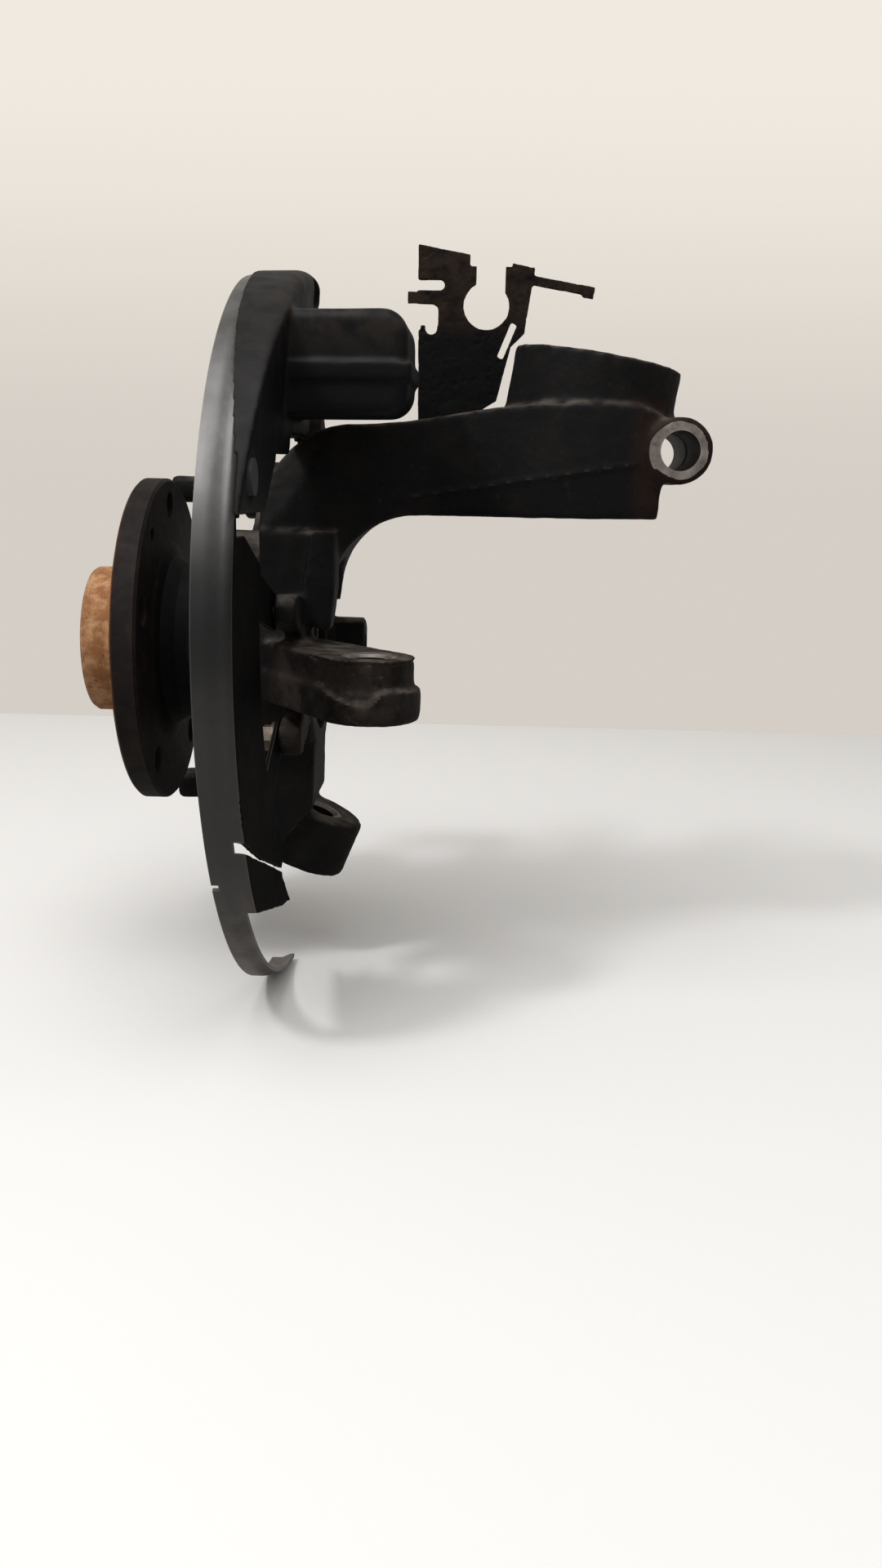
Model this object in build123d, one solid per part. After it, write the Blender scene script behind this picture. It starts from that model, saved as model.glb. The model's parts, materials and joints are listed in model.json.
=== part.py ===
from build123d import *
import math
import os

# Left-hand front steering knuckle of a van with a clamped suspension strut,
# with its wheel hub, hub bearing, splash shield, brake air duct and hose bracket.
#
# Frame: the origin is on the hub axis, in the wheel face of the hub flange.
# +X points inboard along the hub axis, +Y to the front of the vehicle, +Z up.
# All sizes are in millimetres.

# ---- clearances ----
press_gap = 0.02        # left between pieces that are pressed together
face_gap = 0.05         # left between faces that are clamped together
run_gap = 0.3           # radial or axial gap beside anything that turns

# ---- hub bearing, double row, pressed into the knuckle ----
bearing_r = 42.5
bearing_x = 33.0
bearing_w = 42.0
ball_r = 6.0
ball_pitch_r = 33.0
balls_per_row = 13
row_offset = 9.8        # each ball row from the middle of the bearing
outer_shoulder_r = 36.3
inner_shoulder_r = 30.0
cage_inner_r = 31.0
cage_outer_r = 35.2
cage_w = 13.8
seal_seat_r = 38.5
seal_seat_depth = 4.0
seal_t = 3.0
seal_inset = 0.4

# ---- wheel hub ----
pilot_r = 32.5          # centres the wheel
pilot_reach = 23.0
pilot_cavity_r = 24.0   # room for the axle bolt head
pilot_cavity_depth = 17.0
disc_pilot_r = 33.7     # centres the brake disc
disc_pilot_len = 8.0
pilot_groove_w = 1.8
pilot_groove_depth = 1.2
flange_r = 72.0
flange_t = 10.8
flange_edge = 1.2
hub_neck_r = 34.5       # barrel behind the flange
hub_neck_end_x = bearing_x - 6.0
hub_shoulder_r = 29.4   # shoulder that the inner ring stops on
spindle_r = 22.5
spindle_end_x = bearing_x + bearing_w + 4.0
bolt_circle_r = 60.0
wheel_bolt_count = 5
wheel_bolt_core_r = 6.25     # M14 x 1.5 thread, core
disc_screw_core_r = 3.4      # M8 locating screw of the disc, core
spline_count = 28
spline_root_r = 16.8
spline_tip_r = 15.5
spline_lead_r = 17.4    # plain bore ahead of the splines
spline_lead_len = 8.0

# ---- snap ring that holds the bearing ----
snap_t = 2.2
snap_outer_r = bearing_r + 1.7
snap_inner_r = bearing_r - 3.7
snap_gap_w = 16.0
snap_lug_r = 3.6
snap_lug_hole_r = 1.3
snap_groove_r = snap_outer_r + 0.4
snap_groove_w = 2.5
snap_groove_x = bearing_x - 0.1 - snap_groove_w

# ---- knuckle: bearing housing ----
housing_r = bearing_r + 8.0
housing_nose_r = bearing_r + 4.5
housing_x = bearing_x - 7.0
housing_end_x = bearing_x + bearing_w + 4.5
housing_lip_r = bearing_r - 3.6    # opening behind the bearing, for the axle joint

# ---- knuckle: curved arm up to the strut ----
bend_outer_r = 39.5     # outer bend, around (bend_outer_x, bend_outer_z)
bend_outer_x = 96.0
bend_outer_z = 57.0
bend_inner_r = 36.5     # inner bend, around (bend_inner_x, bend_inner_z)
bend_inner_x = 122.0
bend_inner_z = 22.0
leg_bottom_z = 11.0
leg_front_x = 73.5      # foot of the rear leg, at its front and rear edges
leg_rear_x = 88.0
leg_lean = 6.0          # the front edge leans inboard by this towards the top
leg_top_z = 52.0
leg_inner_y = -32.0
leg_t = 20.0
arm_half_root = 43.0    # half widths in plan
arm_half_waist = 23.0
arm_half_clamp = 41.0
arm_waist_x = 128.0
arm_root_x = 57.0
arm_top_z = 106.5
arm_bottom_z = 59.5
arm_shoulder_turn = 10.0     # degrees, so that the shoulders run out along the arm
arm_shoulder_z = 35.0   # where the shoulders start to slope in
arm_end_x = 224.0       # lower corner of the clamp
flank_draft = 4.0       # degrees of draft above and below the parting line
parting_x = 119.0       # a point on the parting line
parting_z = 66.5
parting_slope = 9.4     # degrees, rising towards the strut

# ---- knuckle: strut clamp ----
strut_r = 27.5
strut_x = 193.5         # where the strut axis passes pinch height
strut_tilt = 8.5        # degrees, top of the strut inboard
sleeve_r = 36.5
sleeve_top = 39.0       # above pinch height, along the strut axis
clamp_split_w = 6.0
pinch_x = 231.5
pinch_z = 88.0
pinch_boss_r = 14.0
pinch_half_len = 36.0
pinch_bolt_r = 8.25

lug_edge_r = 2.0        # rounding of the lugs and bosses

# ---- knuckle: steering arm ----
tie_x = 107.0
tie_y = -90.0
tie_top_z = 7.0
tie_bottom_z = -18.5
tie_ledge_z = -5.5
tie_lug_r = 18.8
tie_ledge_step = 1.6
tie_bore_r = 7.6        # small end of the taper, at the top
tie_land = 5.0
tie_seat_r = 11.0
taper_per_mm = 0.05     # radius gained for each mm of taper

# ---- knuckle: lower ball joint lug ----
joint_x = 79.0
joint_z = -77.0
joint_tilt = 22.0       # degrees, top of the pin inboard
joint_lug_r = 21.0
joint_lug_h = 27.0
joint_bore_r = 7.0
joint_seat_r = 10.5
neck_x = 44.0           # the neck above the lug, from here to the pin
neck_top_z = -30.0

# ---- knuckle: caliper ears, at the front ----
ear_y = flange_r - 6.0
ear_high_z = flange_r - 5.0
ear_low_z = -flange_r - 10.0
ear_r = 14.0
ear_x = 34.0
ear_t = 20.0
ear_core_r = 5.1        # M12 thread, core, blind
ear_core_depth = 26.0
ear_nose_x = -1.0       # blunt nose of each ear, beyond the hub flange
ear_nose_w = 22.0
ear_nose_h = 13.0
ear_end_x = ear_x + ear_t + 10

# ---- knuckle: wheel speed sensor boss ----
sensor_y = 46.0
sensor_z = -6.0
sensor_boss_r = 14.0
sensor_x = 96.0
sensor_bore_r = 6.0
sensor_bore_depth = 16.0

# ---- splash shield, in its own frame, which sits slightly askew on the knuckle ----
shield_z = 2.4          # centre of the shield above the hub axis
shield_yaw = -1.8       # degrees, front edge inboard
shield_lean = -0.85     # degrees, top edge outboard
sheet_t = 1.5
shield_r = 153.6
shield_rim_x = 55.0
shield_face_x = 69.0    # inboard surface of the face
shield_waist_r = 151.6  # the skirt draws in a little from its rim to its bend
shield_bead_x = 59.0
shield_bend_r = 3.5
shield_open_r = 98.0
shield_start = 62.0     # degrees from +Y towards +Z, front end of the skirt
shield_end = 266.5
window_r = 142.0        # the duct blows through this part of the face
window_start = 97.0
window_end = 158.0
slot_low_z = 49.5
slot_high_z = 56.0
slot_outer_r = 147.5
tear_start = (-152.0, -53.0)   # the face is split from here to tear_end
tear_bend = (-104.0, -75.5)
tear_end = (-59.5, -92.0)
tear_tip = (-56.0, -95.0)
tear_gap = 5.0          # width of the split at the skirt
flap_tip = (-39.0, -113.0)     # the flap left below the split
flap_root = (-133.0, -89.0)
strip_x = 65.5          # what is left of the skirt below the tear
nick_angle = 211.0      # bent nick in the rim
nick_w = 3.0
nick_depth = 2.6
tab_w = 15.0

# ---- screws of the shield ----
screw_r = 3.0
screw_hole_r = 3.4
screw_core_r = 3.0
screw_len = 8.5
screw_hex = 10.0
screw_head_h = 5.0
screw_washer_r = 7.0
screw_washer_t = 1.4
screw_boss_r = 7.5
tab_places = {"upper": (94.0, 80.0), "rear": (66.0, 165.0), "lower": (68.0, 212.0)}
boss_depth = 10.0
thread_depth = 8.0

# ---- brake air duct ----
duct_wall = 2.4
duct_low_z = 79.0
duct_notch_y = -47.0    # ahead of this the duct stays clear of the knuckle's arm
duct_notch_z = 87.0
duct_front_y = 2.0
duct_thin_z = 58.0      # height where the wedge of the duct runs out
duct_thin_t = 2.6
duct_slope = 0.10
duct_crown_x = 73.5     # the back of the duct rounds over to its rim from here
duct_crown_r = 7.0
tail_inner_r = 108.0
tail_low_z = 57.0
lip_gap = 0.35          # between the shield's skirt and the lip of the duct
lip_t = 1.2
lip_start = 91.0
lip_end = 150.0
lip_reach_x = 57.5      # outboard end of the lip at the top of the shield
lip_slope = 7.5         # degrees that the lip's edge runs inboard going down
duct_r = shield_r + lip_gap + lip_t
hollow_r = window_r + 2
scoop_rear_y = -74.0
scoop_front_y = -27.0
scoop_x = 123.5
scoop_low_z = 93.5
scoop_high_z = 133.0
scoop_corner_r = 10.0
scoop_foot_x = 71.5
seam_low_z = 106.5
seam_high_z = 113.5
seam_start_x = 76.0
seam_step = 1.6

# ---- clips of the duct ----
clip_shank_r = 2.9
clip_hole_r = 3.1
clip_head_r = 6.5
clip_head_t = 2.2
clip_tail_r = 4.2
clip_tail_t = 2.0
clip_places = {"top": (144.5, 92.9), "front": (105.0, 93.9), "tail": (144.5, 151.0)}
clip_pad_r = 8.0

# ---- hose bracket ----
plate_t = 3.0
bracket_y = 31.0        # rear face of the plate
bracket_left_x = 120.3
bracket_right_x = 168.0
bracket_foot_x = 148.0
bracket_waist_x = 156.0
bracket_foot_z = 72.0
bracket_neck_z = 140.0
bracket_top_z = 177.5
bracket_top_drop = 0.19
hose_x = 150.2
hose_z = 151.5
hose_r = 10.2
hose_mouth_w = 13.0
hose_mouth_x = 152.0
wire_slot_z = 160.0
wire_slot_len = 16.0
wire_slot_w = 4.2
cable_notch_z = 146.2
prong_x = 160.0         # narrow slot that leaves the prong at the right
prong_z = 136.5
prong_turn = -22.0      # degrees
finger_end_x = 199.0
finger_z = 161.0
finger_w = 4.2
finger_turn = -9.0      # degrees
bracket_bolt_x = 138.0
bracket_bolt_z = 86.0
bracket_bolt_r = 4.0
bracket_bolt_hole_r = 4.4
bracket_bolt_len = 16.0
bracket_boss_r = 11.0


def turned(*profile):
    """Solid turned about the hub axis from (x, radius) points."""
    outline = Polyline([(x, 0, r) for x, r in profile], close=True)
    return revolve(make_face(outline), Axis.X, 360)


def rod(x0, x1, radius, y=0.0, z=0.0):
    """Round bar parallel to the hub axis."""
    place = Plane(origin=(x0, y, z), x_dir=(0, 1, 0), z_dir=(1, 0, 0))
    return extrude(place * Circle(radius), x1 - x0)


def polar(radius, angle):
    """Y and Z of a point given by its radius and angle about the hub axis."""
    turn = math.radians(angle)
    return radius * math.cos(turn), radius * math.sin(turn)


def facing(x):
    """Sketch plane square to the hub axis, with its axes along Y and Z."""
    return Plane(origin=(x, 0, 0), x_dir=(0, 1, 0), z_dir=(1, 0, 0))


def side_on(y=0.0):
    """Sketch plane with its axes along X and Z, its normal towards -Y."""
    return Plane(origin=(0, y, 0), x_dir=(1, 0, 0), z_dir=(0, -1, 0))


def on_shield(shape):
    """Move a shape from the frame of the shield to the frame of the part."""
    return Location((0, 0, shield_z), (0, shield_lean, shield_yaw)) * shape


def sector(radius, start, end):
    """Flat sector of a circle between two angles in degrees."""
    middle = (start + end) / 2
    tip = (0, 0)
    begin = polar(radius, start)
    finish = polar(radius, end)
    arc = ThreePointArc(begin, polar(radius, middle), finish)
    return make_face([Line(tip, begin), arc, Line(finish, tip)])


def slab(face, half):
    """A side-on face made as thick as half to either side."""
    return extrude(face, half, both=True)


# ---------------------------------------------------------------- knuckle

def housing():
    """Round bearing housing with a tapered nose."""
    nose_end = housing_x + 10
    return turned(
        (housing_x, 0),
        (housing_x, housing_nose_r),
        (nose_end, housing_r),
        (housing_end_x - 3, housing_r),
        (housing_end_x, housing_r - 3),
        (housing_end_x, 0),
    )


def arm_side():
    """Side view of the arm, from the bearing housing to the strut clamp."""
    outer_start = (bend_outer_x - bend_outer_r, bend_outer_z)
    corner = bend_outer_r * math.sqrt(0.5)
    outer_mid = (bend_outer_x - corner, bend_outer_z + corner)
    outer_end = (bend_outer_x, bend_outer_z + bend_outer_r)
    inner_start = (bend_inner_x, bend_inner_z + bend_inner_r)
    corner = bend_inner_r * math.sqrt(0.5)
    inner_mid = (bend_inner_x - corner, bend_inner_z + corner)
    inner_end = (bend_inner_x - bend_inner_r, bend_inner_z)
    heel = (inner_end[0], leg_bottom_z)
    toe = (outer_start[0], leg_bottom_z + 6)
    crown = (strut_x + 3, arm_top_z)
    brow = (pinch_x - 4, pinch_z + pinch_boss_r - 1)
    chin = (arm_end_x, arm_bottom_z)
    outline = [
        ThreePointArc(outer_start, outer_mid, outer_end),
        Spline(outer_end, (strut_x - 36, arm_top_z - 2), crown, tangents=[(1, 0.05), (1, 0)]),
        Spline(crown, brow, tangents=[(1, 0), (1, -0.8)]),
        Line(brow, chin),
        Line(chin, inner_start),
        ThreePointArc(inner_start, inner_mid, inner_end),
        Line(inner_end, heel),
        Line(heel, toe),
        Line(toe, outer_start),
    ]
    return side_on() * make_face(outline)


def arm_plan():
    """Plan view of the arm: waisted, then wrapped around the strut sleeve."""
    root = arm_half_root
    waist = arm_half_waist
    clamp = arm_half_clamp
    nose_x = pinch_x + 3
    nose = pinch_half_len - 9
    ahead = (1, 0)
    upper = [
        Spline((arm_root_x - 12, root), (arm_waist_x, waist), (strut_x, clamp),
               tangents=[ahead, ahead]),
        Spline((strut_x, clamp), (nose_x, nose), tangents=[ahead, (1, -0.9)]),
    ]
    lower = [edge.mirror(Plane.XZ) for edge in upper]
    ends = [
        Line((arm_root_x - 12, root), (arm_root_x - 12, -root)),
        Line((nose_x, nose), (nose_x, -nose)),
    ]
    return make_face(upper + lower + ends)


def shoulder_trim():
    """Wedges that slope the root of the arm in towards the top."""
    foot = (arm_half_root + 5, arm_shoulder_z)
    top = (arm_half_waist + 1, arm_top_z - 8)
    outer = (arm_half_root + 20, arm_top_z)
    wedge = make_face(Polyline([foot, top, (top[0], outer[1]), outer], close=True))
    turn = math.radians(arm_shoulder_turn)
    ahead = (math.cos(turn), math.sin(turn), 0)
    place = Plane(origin=(arm_root_x, 0, 0), x_dir=(-ahead[1], ahead[0], 0), z_dir=ahead)
    far = extrude(place * wedge, 80) + extrude(place * wedge, -30)
    return far + far.mirror(Plane.XZ)


def arm_flanks():
    """Plan of the arm drafted away from the tilted parting line, above and below."""
    slope = math.radians(parting_slope)
    ahead = (math.cos(slope), 0, math.sin(slope))
    upright = (-math.sin(slope), 0, math.cos(slope))
    parting = Plane(origin=(parting_x, 0, parting_z), x_dir=ahead, z_dir=upright)
    half = extrude(parting * (Pos(-parting_x, 0) * arm_plan()), 2 * arm_half_root, taper=flank_draft)
    return half + half.mirror(parting)


def arm():
    """Curved arm with sloped shoulders and drafted flanks."""
    side = slab(arm_side(), arm_half_root + 10)
    return (side & arm_flanks()) - shoulder_trim()


def leg():
    """Rear leg of the arm, which runs down the housing above the steering arm."""
    outline = Polyline([
        (leg_front_x + leg_lean, leg_top_z), (leg_front_x, leg_bottom_z + 4),
        (leg_rear_x, leg_bottom_z - 0.5), (leg_rear_x + 2, leg_bottom_z + 20),
        (leg_rear_x + 2, leg_top_z),
    ], close=True)
    rib = extrude(side_on(leg_inner_y) * make_face(outline), leg_t)
    root = Box(leg_rear_x - arm_root_x, leg_t - 6, leg_top_z - leg_bottom_z - 6)
    middle_x = (leg_rear_x + arm_root_x) / 2
    middle_z = (leg_top_z + leg_bottom_z + 6) / 2
    return rib + Pos(middle_x, leg_inner_y - leg_t / 2 + 5, middle_z) * root


def strut_plane():
    """Plane square to the strut axis, at pinch height."""
    tilt = math.radians(strut_tilt)
    return Plane(origin=(strut_x, 0, pinch_z), x_dir=(math.cos(tilt), 0, -math.sin(tilt)),
                 z_dir=(math.sin(tilt), 0, math.cos(tilt)))


def sleeve():
    """Outside of the strut sleeve, cut level at the bottom."""
    reach = pinch_z - arm_bottom_z + sleeve_r
    tube = extrude(strut_plane() * Circle(sleeve_r), sleeve_top)
    tube += extrude(strut_plane() * Circle(sleeve_r), -reach)
    below = Pos(strut_x, 0, arm_bottom_z - reach) * Box(4 * sleeve_r, 4 * sleeve_r, 2 * reach)
    return tube - below


def pinch_boss():
    """Boss across the split of the clamp, for the pinch bolt."""
    boss = slab(side_on() * Pos(pinch_x, pinch_z) * Circle(pinch_boss_r), pinch_half_len)
    return fillet(boss.edges().filter_by(GeomType.CIRCLE), 1.2)


def clamp_cuts():
    """Strut bore, split and pinch bolt bore."""
    far = 2 * sleeve_r
    bore = extrude(strut_plane() * Circle(strut_r), far, both=True)
    split_x = pinch_x + pinch_boss_r + 5
    split = Box(split_x - strut_x, clamp_split_w, 4 * sleeve_r)
    split = Pos((split_x + strut_x) / 2, 0, pinch_z) * split
    bolt = slab(side_on() * Pos(pinch_x, pinch_z) * Circle(pinch_bolt_r), pinch_half_len + 10)
    return bore + split + bolt


def steering_arm():
    """Steering arm with its tie rod lug, the lower part slightly proud."""
    def layer(radius, z0, z1, root_half):
        eye = Pos(tie_x, tie_y) * Circle(radius)
        root = Pos(housing_end_x - root_half, -housing_r + 14) * Rectangle(2 * root_half, 12)
        link = make_hull(eye.edges() + root.edges())
        return extrude(Plane.XY.offset(z0) * link, z1 - z0)
    upper = layer(tie_lug_r, tie_ledge_z, tie_top_z, 13)
    lower = layer(tie_lug_r + tie_ledge_step, tie_bottom_z, tie_ledge_z, 14)
    upper = fillet(upper.faces().sort_by(Axis.Z)[-1].edges(), lug_edge_r)
    lower = fillet(lower.faces().sort_by(Axis.Z)[0].edges(), lug_edge_r)
    return upper + lower


def tapered_bore(plane, small_r, depth, seat_r):
    """Tapered hole that opens downwards, with a land and a spot face on top."""
    large_r = small_r + (depth - tie_land) * taper_per_mm
    outline = Polyline([
        (0, 4), (seat_r, 4), (seat_r, -0.8), (small_r, -0.8),
        (small_r, -tie_land), (large_r, -depth), (large_r, -depth - 6), (0, -depth - 6),
    ], close=True)
    cutter = revolve(Plane.XZ * make_face(outline), Axis.Z, 360)
    return plane.location * cutter


def joint_plane():
    """Plane on top of the lower ball joint lug, square to the pin."""
    tilt = math.radians(joint_tilt)
    return Plane(origin=(joint_x, 0, joint_z), x_dir=(math.cos(tilt), 0, -math.sin(tilt)),
                 z_dir=(math.sin(tilt), 0, math.cos(tilt)))


def joint_lug():
    """Tilted lug of the lower ball joint and the neck that carries it."""
    place = joint_plane()
    root = Pos(-30, 0) * Rectangle(20, 2 * joint_lug_r - 6)
    web = make_hull(Circle(joint_lug_r).edges() + root.edges())
    blade = extrude(place * web, -joint_lug_h)
    ends = blade.faces().sort_by(Axis((0, 0, 0), tuple(place.z_dir)))
    blade = fillet(ends[0].edges() + ends[-1].edges(), lug_edge_r)
    neck_face = Polyline([
        (neck_x, neck_top_z), (joint_x, neck_top_z), (joint_x - 1, joint_z + 6),
        (joint_x - 20, joint_z - 18), (neck_x + 6, joint_z - 12),
    ], close=True)
    neck = slab(side_on() * make_face(neck_face), joint_lug_r + 5)
    return blade + neck


def caliper_ear(z):
    """Ear for the caliper bracket: web, boss and blunt outboard nose."""
    root_y, root_z = polar(housing_r - 12, math.degrees(math.atan2(z, ear_y)))
    eye = Pos(ear_y, z) * Circle(ear_r - 1)
    root = Pos(root_y, root_z) * Circle(ear_r + 8)
    web = make_hull(eye.edges() + root.edges())
    body = extrude(facing(ear_x + 10) * web, ear_t)
    boss = fillet(rod(ear_x, ear_end_x, ear_r, ear_y, z).edges().filter_by(GeomType.CIRCLE), lug_edge_r)
    nose = Pos(ear_y, z) * RectangleRounded(ear_nose_w, ear_nose_h, 4)
    nose = extrude(facing(ear_nose_x) * nose, ear_x + 2 - ear_nose_x)
    nose = fillet(nose.faces().sort_by(Axis.X)[0].edges(), lug_edge_r)
    return body + boss + nose


def sensor_boss():
    """Boss for the wheel speed sensor, on the inboard face of the housing."""
    return rod(housing_end_x - 24, sensor_x, sensor_boss_r, sensor_y, sensor_z)


def shield_boss(radius, angle):
    """Boss with a seat for one tab of the splash shield."""
    y, z = polar(radius, angle)
    boss = rod(shield_face_x + face_gap, shield_face_x + boss_depth, screw_boss_r, y, z)
    inner_y, inner_z = polar(housing_r - 8, angle)
    seat = Pos(y, z) * Circle(screw_boss_r)
    root = Pos(inner_y, inner_z) * Circle(screw_boss_r + 2)
    foot = make_hull(seat.edges() + root.edges())
    return boss + extrude(facing(shield_face_x + 2) * foot, boss_depth - 2)


def bracket_boss():
    """Pad on the front flank of the arm that the hose bracket is bolted to."""
    pad = Circle(bracket_boss_r)
    place = Plane(origin=(bracket_bolt_x, bracket_y - face_gap, bracket_bolt_z),
                  x_dir=(1, 0, 0), z_dir=(0, -1, 0))
    return extrude(place * pad, bracket_y - 8)


def bracket_bolt_bore():
    """Threaded hole in that pad, at core size."""
    place = Plane(origin=(bracket_bolt_x, bracket_y + 1, bracket_bolt_z),
                  x_dir=(1, 0, 0), z_dir=(0, -1, 0))
    return extrude(place * Circle(bracket_bolt_r), bracket_bolt_len + 4)


def knuckle():
    """The one-piece casting with all its machined bores."""
    body = housing() + arm() + leg() + sleeve() + pinch_boss()
    body += steering_arm() + joint_lug() + sensor_boss()
    for z in (ear_high_z, ear_low_z):
        body += caliper_ear(z)
    for place in tab_places.values():
        body += on_shield(shield_boss(*place))
    bearing_end = bearing_x + bearing_w + face_gap
    body -= rod(housing_x - 5, bearing_end, bearing_r + press_gap)
    body -= rod(bearing_end - 1, housing_end_x + 40, housing_lip_r)
    body -= rod(snap_groove_x, snap_groove_x + snap_groove_w, snap_groove_r)
    body -= clamp_cuts()
    body -= tapered_bore(Plane(origin=(tie_x, tie_y, tie_top_z)), tie_bore_r,
                         tie_top_z - tie_bottom_z, tie_seat_r)
    body -= tapered_bore(joint_plane(), joint_bore_r, joint_lug_h, joint_seat_r)
    for z in (ear_high_z, ear_low_z):
        body -= rod(ear_end_x - ear_core_depth, ear_end_x + 5, ear_core_r, ear_y, z)
    body -= rod(sensor_x - sensor_bore_depth, sensor_x + 5, sensor_bore_r, sensor_y, sensor_z)
    for radius, angle in tab_places.values():
        y, z = polar(radius, angle)
        clearance = rod(shield_face_x - 30, shield_face_x + face_gap, screw_boss_r + 2, y, z)
        thread = rod(shield_face_x - 2, shield_face_x + thread_depth, screw_core_r, y, z)
        body -= on_shield(clearance + thread)
    body += bracket_boss()
    body -= bracket_bolt_bore()
    return body


# ---------------------------------------------------------------- hub and bearing

def hub_blank():
    """Turned outline of the wheel hub, bored through."""
    cavity_x = -pilot_reach + pilot_cavity_depth
    groove_x = -disc_pilot_len - pilot_groove_w
    return turned(
        (-pilot_reach, pilot_cavity_r),
        (-pilot_reach, pilot_r - 1),
        (-pilot_reach + 1.5, pilot_r),
        (groove_x, pilot_r),
        (groove_x, pilot_r - pilot_groove_depth),
        (-disc_pilot_len, pilot_r - pilot_groove_depth),
        (-disc_pilot_len, disc_pilot_r),
        (0, disc_pilot_r),
        (0, flange_r - flange_edge),
        (flange_edge, flange_r),
        (flange_t - flange_edge, flange_r),
        (flange_t, flange_r - flange_edge),
        (flange_t, hub_neck_r + 10),
        (flange_t + 2.5, hub_neck_r + 3.5),
        (flange_t + 8, hub_neck_r),
        (hub_neck_end_x, hub_neck_r),
        (hub_neck_end_x + 2, hub_shoulder_r),
        (bearing_x, hub_shoulder_r),
        (bearing_x, spindle_r - press_gap),
        (spindle_end_x - 1, spindle_r - press_gap),
        (spindle_end_x, spindle_r - 1),
        (spindle_end_x, spline_lead_r),
        (spindle_end_x - spline_lead_len, spline_lead_r),
        (spindle_end_x - spline_lead_len - 1, spline_tip_r),
        (cavity_x, spline_tip_r),
        (cavity_x, pilot_cavity_r),
    )


def spline_cutter():
    """The spaces between the spline teeth."""
    space = math.pi * spline_tip_r / spline_count
    depth = spline_root_r - spline_tip_r + 1
    tooth = Pos((spline_tip_r + spline_root_r - 1) / 2, 0) * Rectangle(depth, space)
    ring = Sketch() + PolarLocations(0, spline_count) * tooth
    return extrude(facing(-pilot_reach) * ring, pilot_reach + spindle_end_x)


def hub_flange():
    """Wheel hub: pilots, drilled flange and splined spindle in one forging."""
    hub = hub_blank() - spline_cutter()
    step = 360 / wheel_bolt_count
    for index in range(wheel_bolt_count):
        y, z = polar(bolt_circle_r, 90 + index * step)
        hub -= rod(-1, flange_t + 1, wheel_bolt_core_r, y, z)
    y, z = polar(bolt_circle_r, 90 + step / 2)
    return hub - rod(-1, flange_t + 1, disc_screw_core_r, y, z)


def row_x(side):
    """Place of a ball row: -1 is the outboard row and 1 the inboard row."""
    return bearing_x + bearing_w / 2 + side * row_offset


def race_cutter(x):
    """Grooved ball track around the hub axis."""
    place = Location((x, 0, 0), (0, 90, 0))
    return place * Torus(ball_pitch_r, ball_r + run_gap)


def bearing_outer_ring():
    """Outer ring with two tracks and a seat for a seal at each end."""
    end_x = bearing_x + bearing_w
    ring = turned(
        (bearing_x, seal_seat_r),
        (bearing_x, bearing_r - 1),
        (bearing_x + 1, bearing_r),
        (end_x - 1, bearing_r),
        (end_x, bearing_r - 1),
        (end_x, seal_seat_r),
        (end_x - seal_seat_depth, seal_seat_r),
        (end_x - seal_seat_depth, outer_shoulder_r),
        (bearing_x + seal_seat_depth, outer_shoulder_r),
        (bearing_x + seal_seat_depth, seal_seat_r),
    )
    return ring - race_cutter(row_x(-1)) - race_cutter(row_x(1))


def inner_ring(side):
    """One of the two inner rings, pressed on the hub spindle."""
    middle = bearing_x + bearing_w / 2 + side * face_gap / 2
    end = middle + side * (bearing_w / 2 - face_gap)
    ring = turned(
        (middle, spindle_r),
        (middle, inner_shoulder_r),
        (end, inner_shoulder_r),
        (end, spindle_r),
    )
    return ring - race_cutter(row_x(side))


def balls(side):
    """One row of balls."""
    row = []
    for index in range(balls_per_row):
        y, z = polar(ball_pitch_r, index * 360 / balls_per_row)
        row.append(Pos(row_x(side), y, z) * Sphere(ball_r))
    return Compound(row)


def cage(side):
    """Ring cage with a round pocket for each ball."""
    x = row_x(side)
    ring = turned(
        (x - cage_w / 2, cage_inner_r),
        (x - cage_w / 2, cage_outer_r),
        (x + cage_w / 2, cage_outer_r),
        (x + cage_w / 2, cage_inner_r),
    )
    for index in range(balls_per_row):
        y, z = polar(ball_pitch_r, index * 360 / balls_per_row)
        ring -= Pos(x, y, z) * Sphere(ball_r + run_gap)
    return ring


def seal_outboard():
    """Lip seal pressed into the outer ring, its lip close to the inner ring."""
    start = bearing_x + seal_inset
    lip_r = inner_shoulder_r + run_gap
    return turned(
        (start, seal_seat_r - press_gap),
        (start + seal_t, seal_seat_r - press_gap),
        (start + seal_t, seal_seat_r - 1.2),
        (start + 1.2, seal_seat_r - 1.2),
        (start + 1.2, lip_r + 1.6),
        (start + seal_t, lip_r),
        (start + seal_t - 1.2, lip_r),
        (start, lip_r + 1.0),
    )


def seal_inboard():
    """Encoder seal pressed on the inner ring, close to the outer ring."""
    end = bearing_x + bearing_w - seal_inset
    rim_r = seal_seat_r - run_gap
    return turned(
        (end, inner_shoulder_r + press_gap),
        (end, rim_r),
        (end - 1.2, rim_r),
        (end - 1.2, inner_shoulder_r + 1.2),
        (end - seal_t, inner_shoulder_r + 1.2),
        (end - seal_t, inner_shoulder_r + press_gap),
    )


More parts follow.
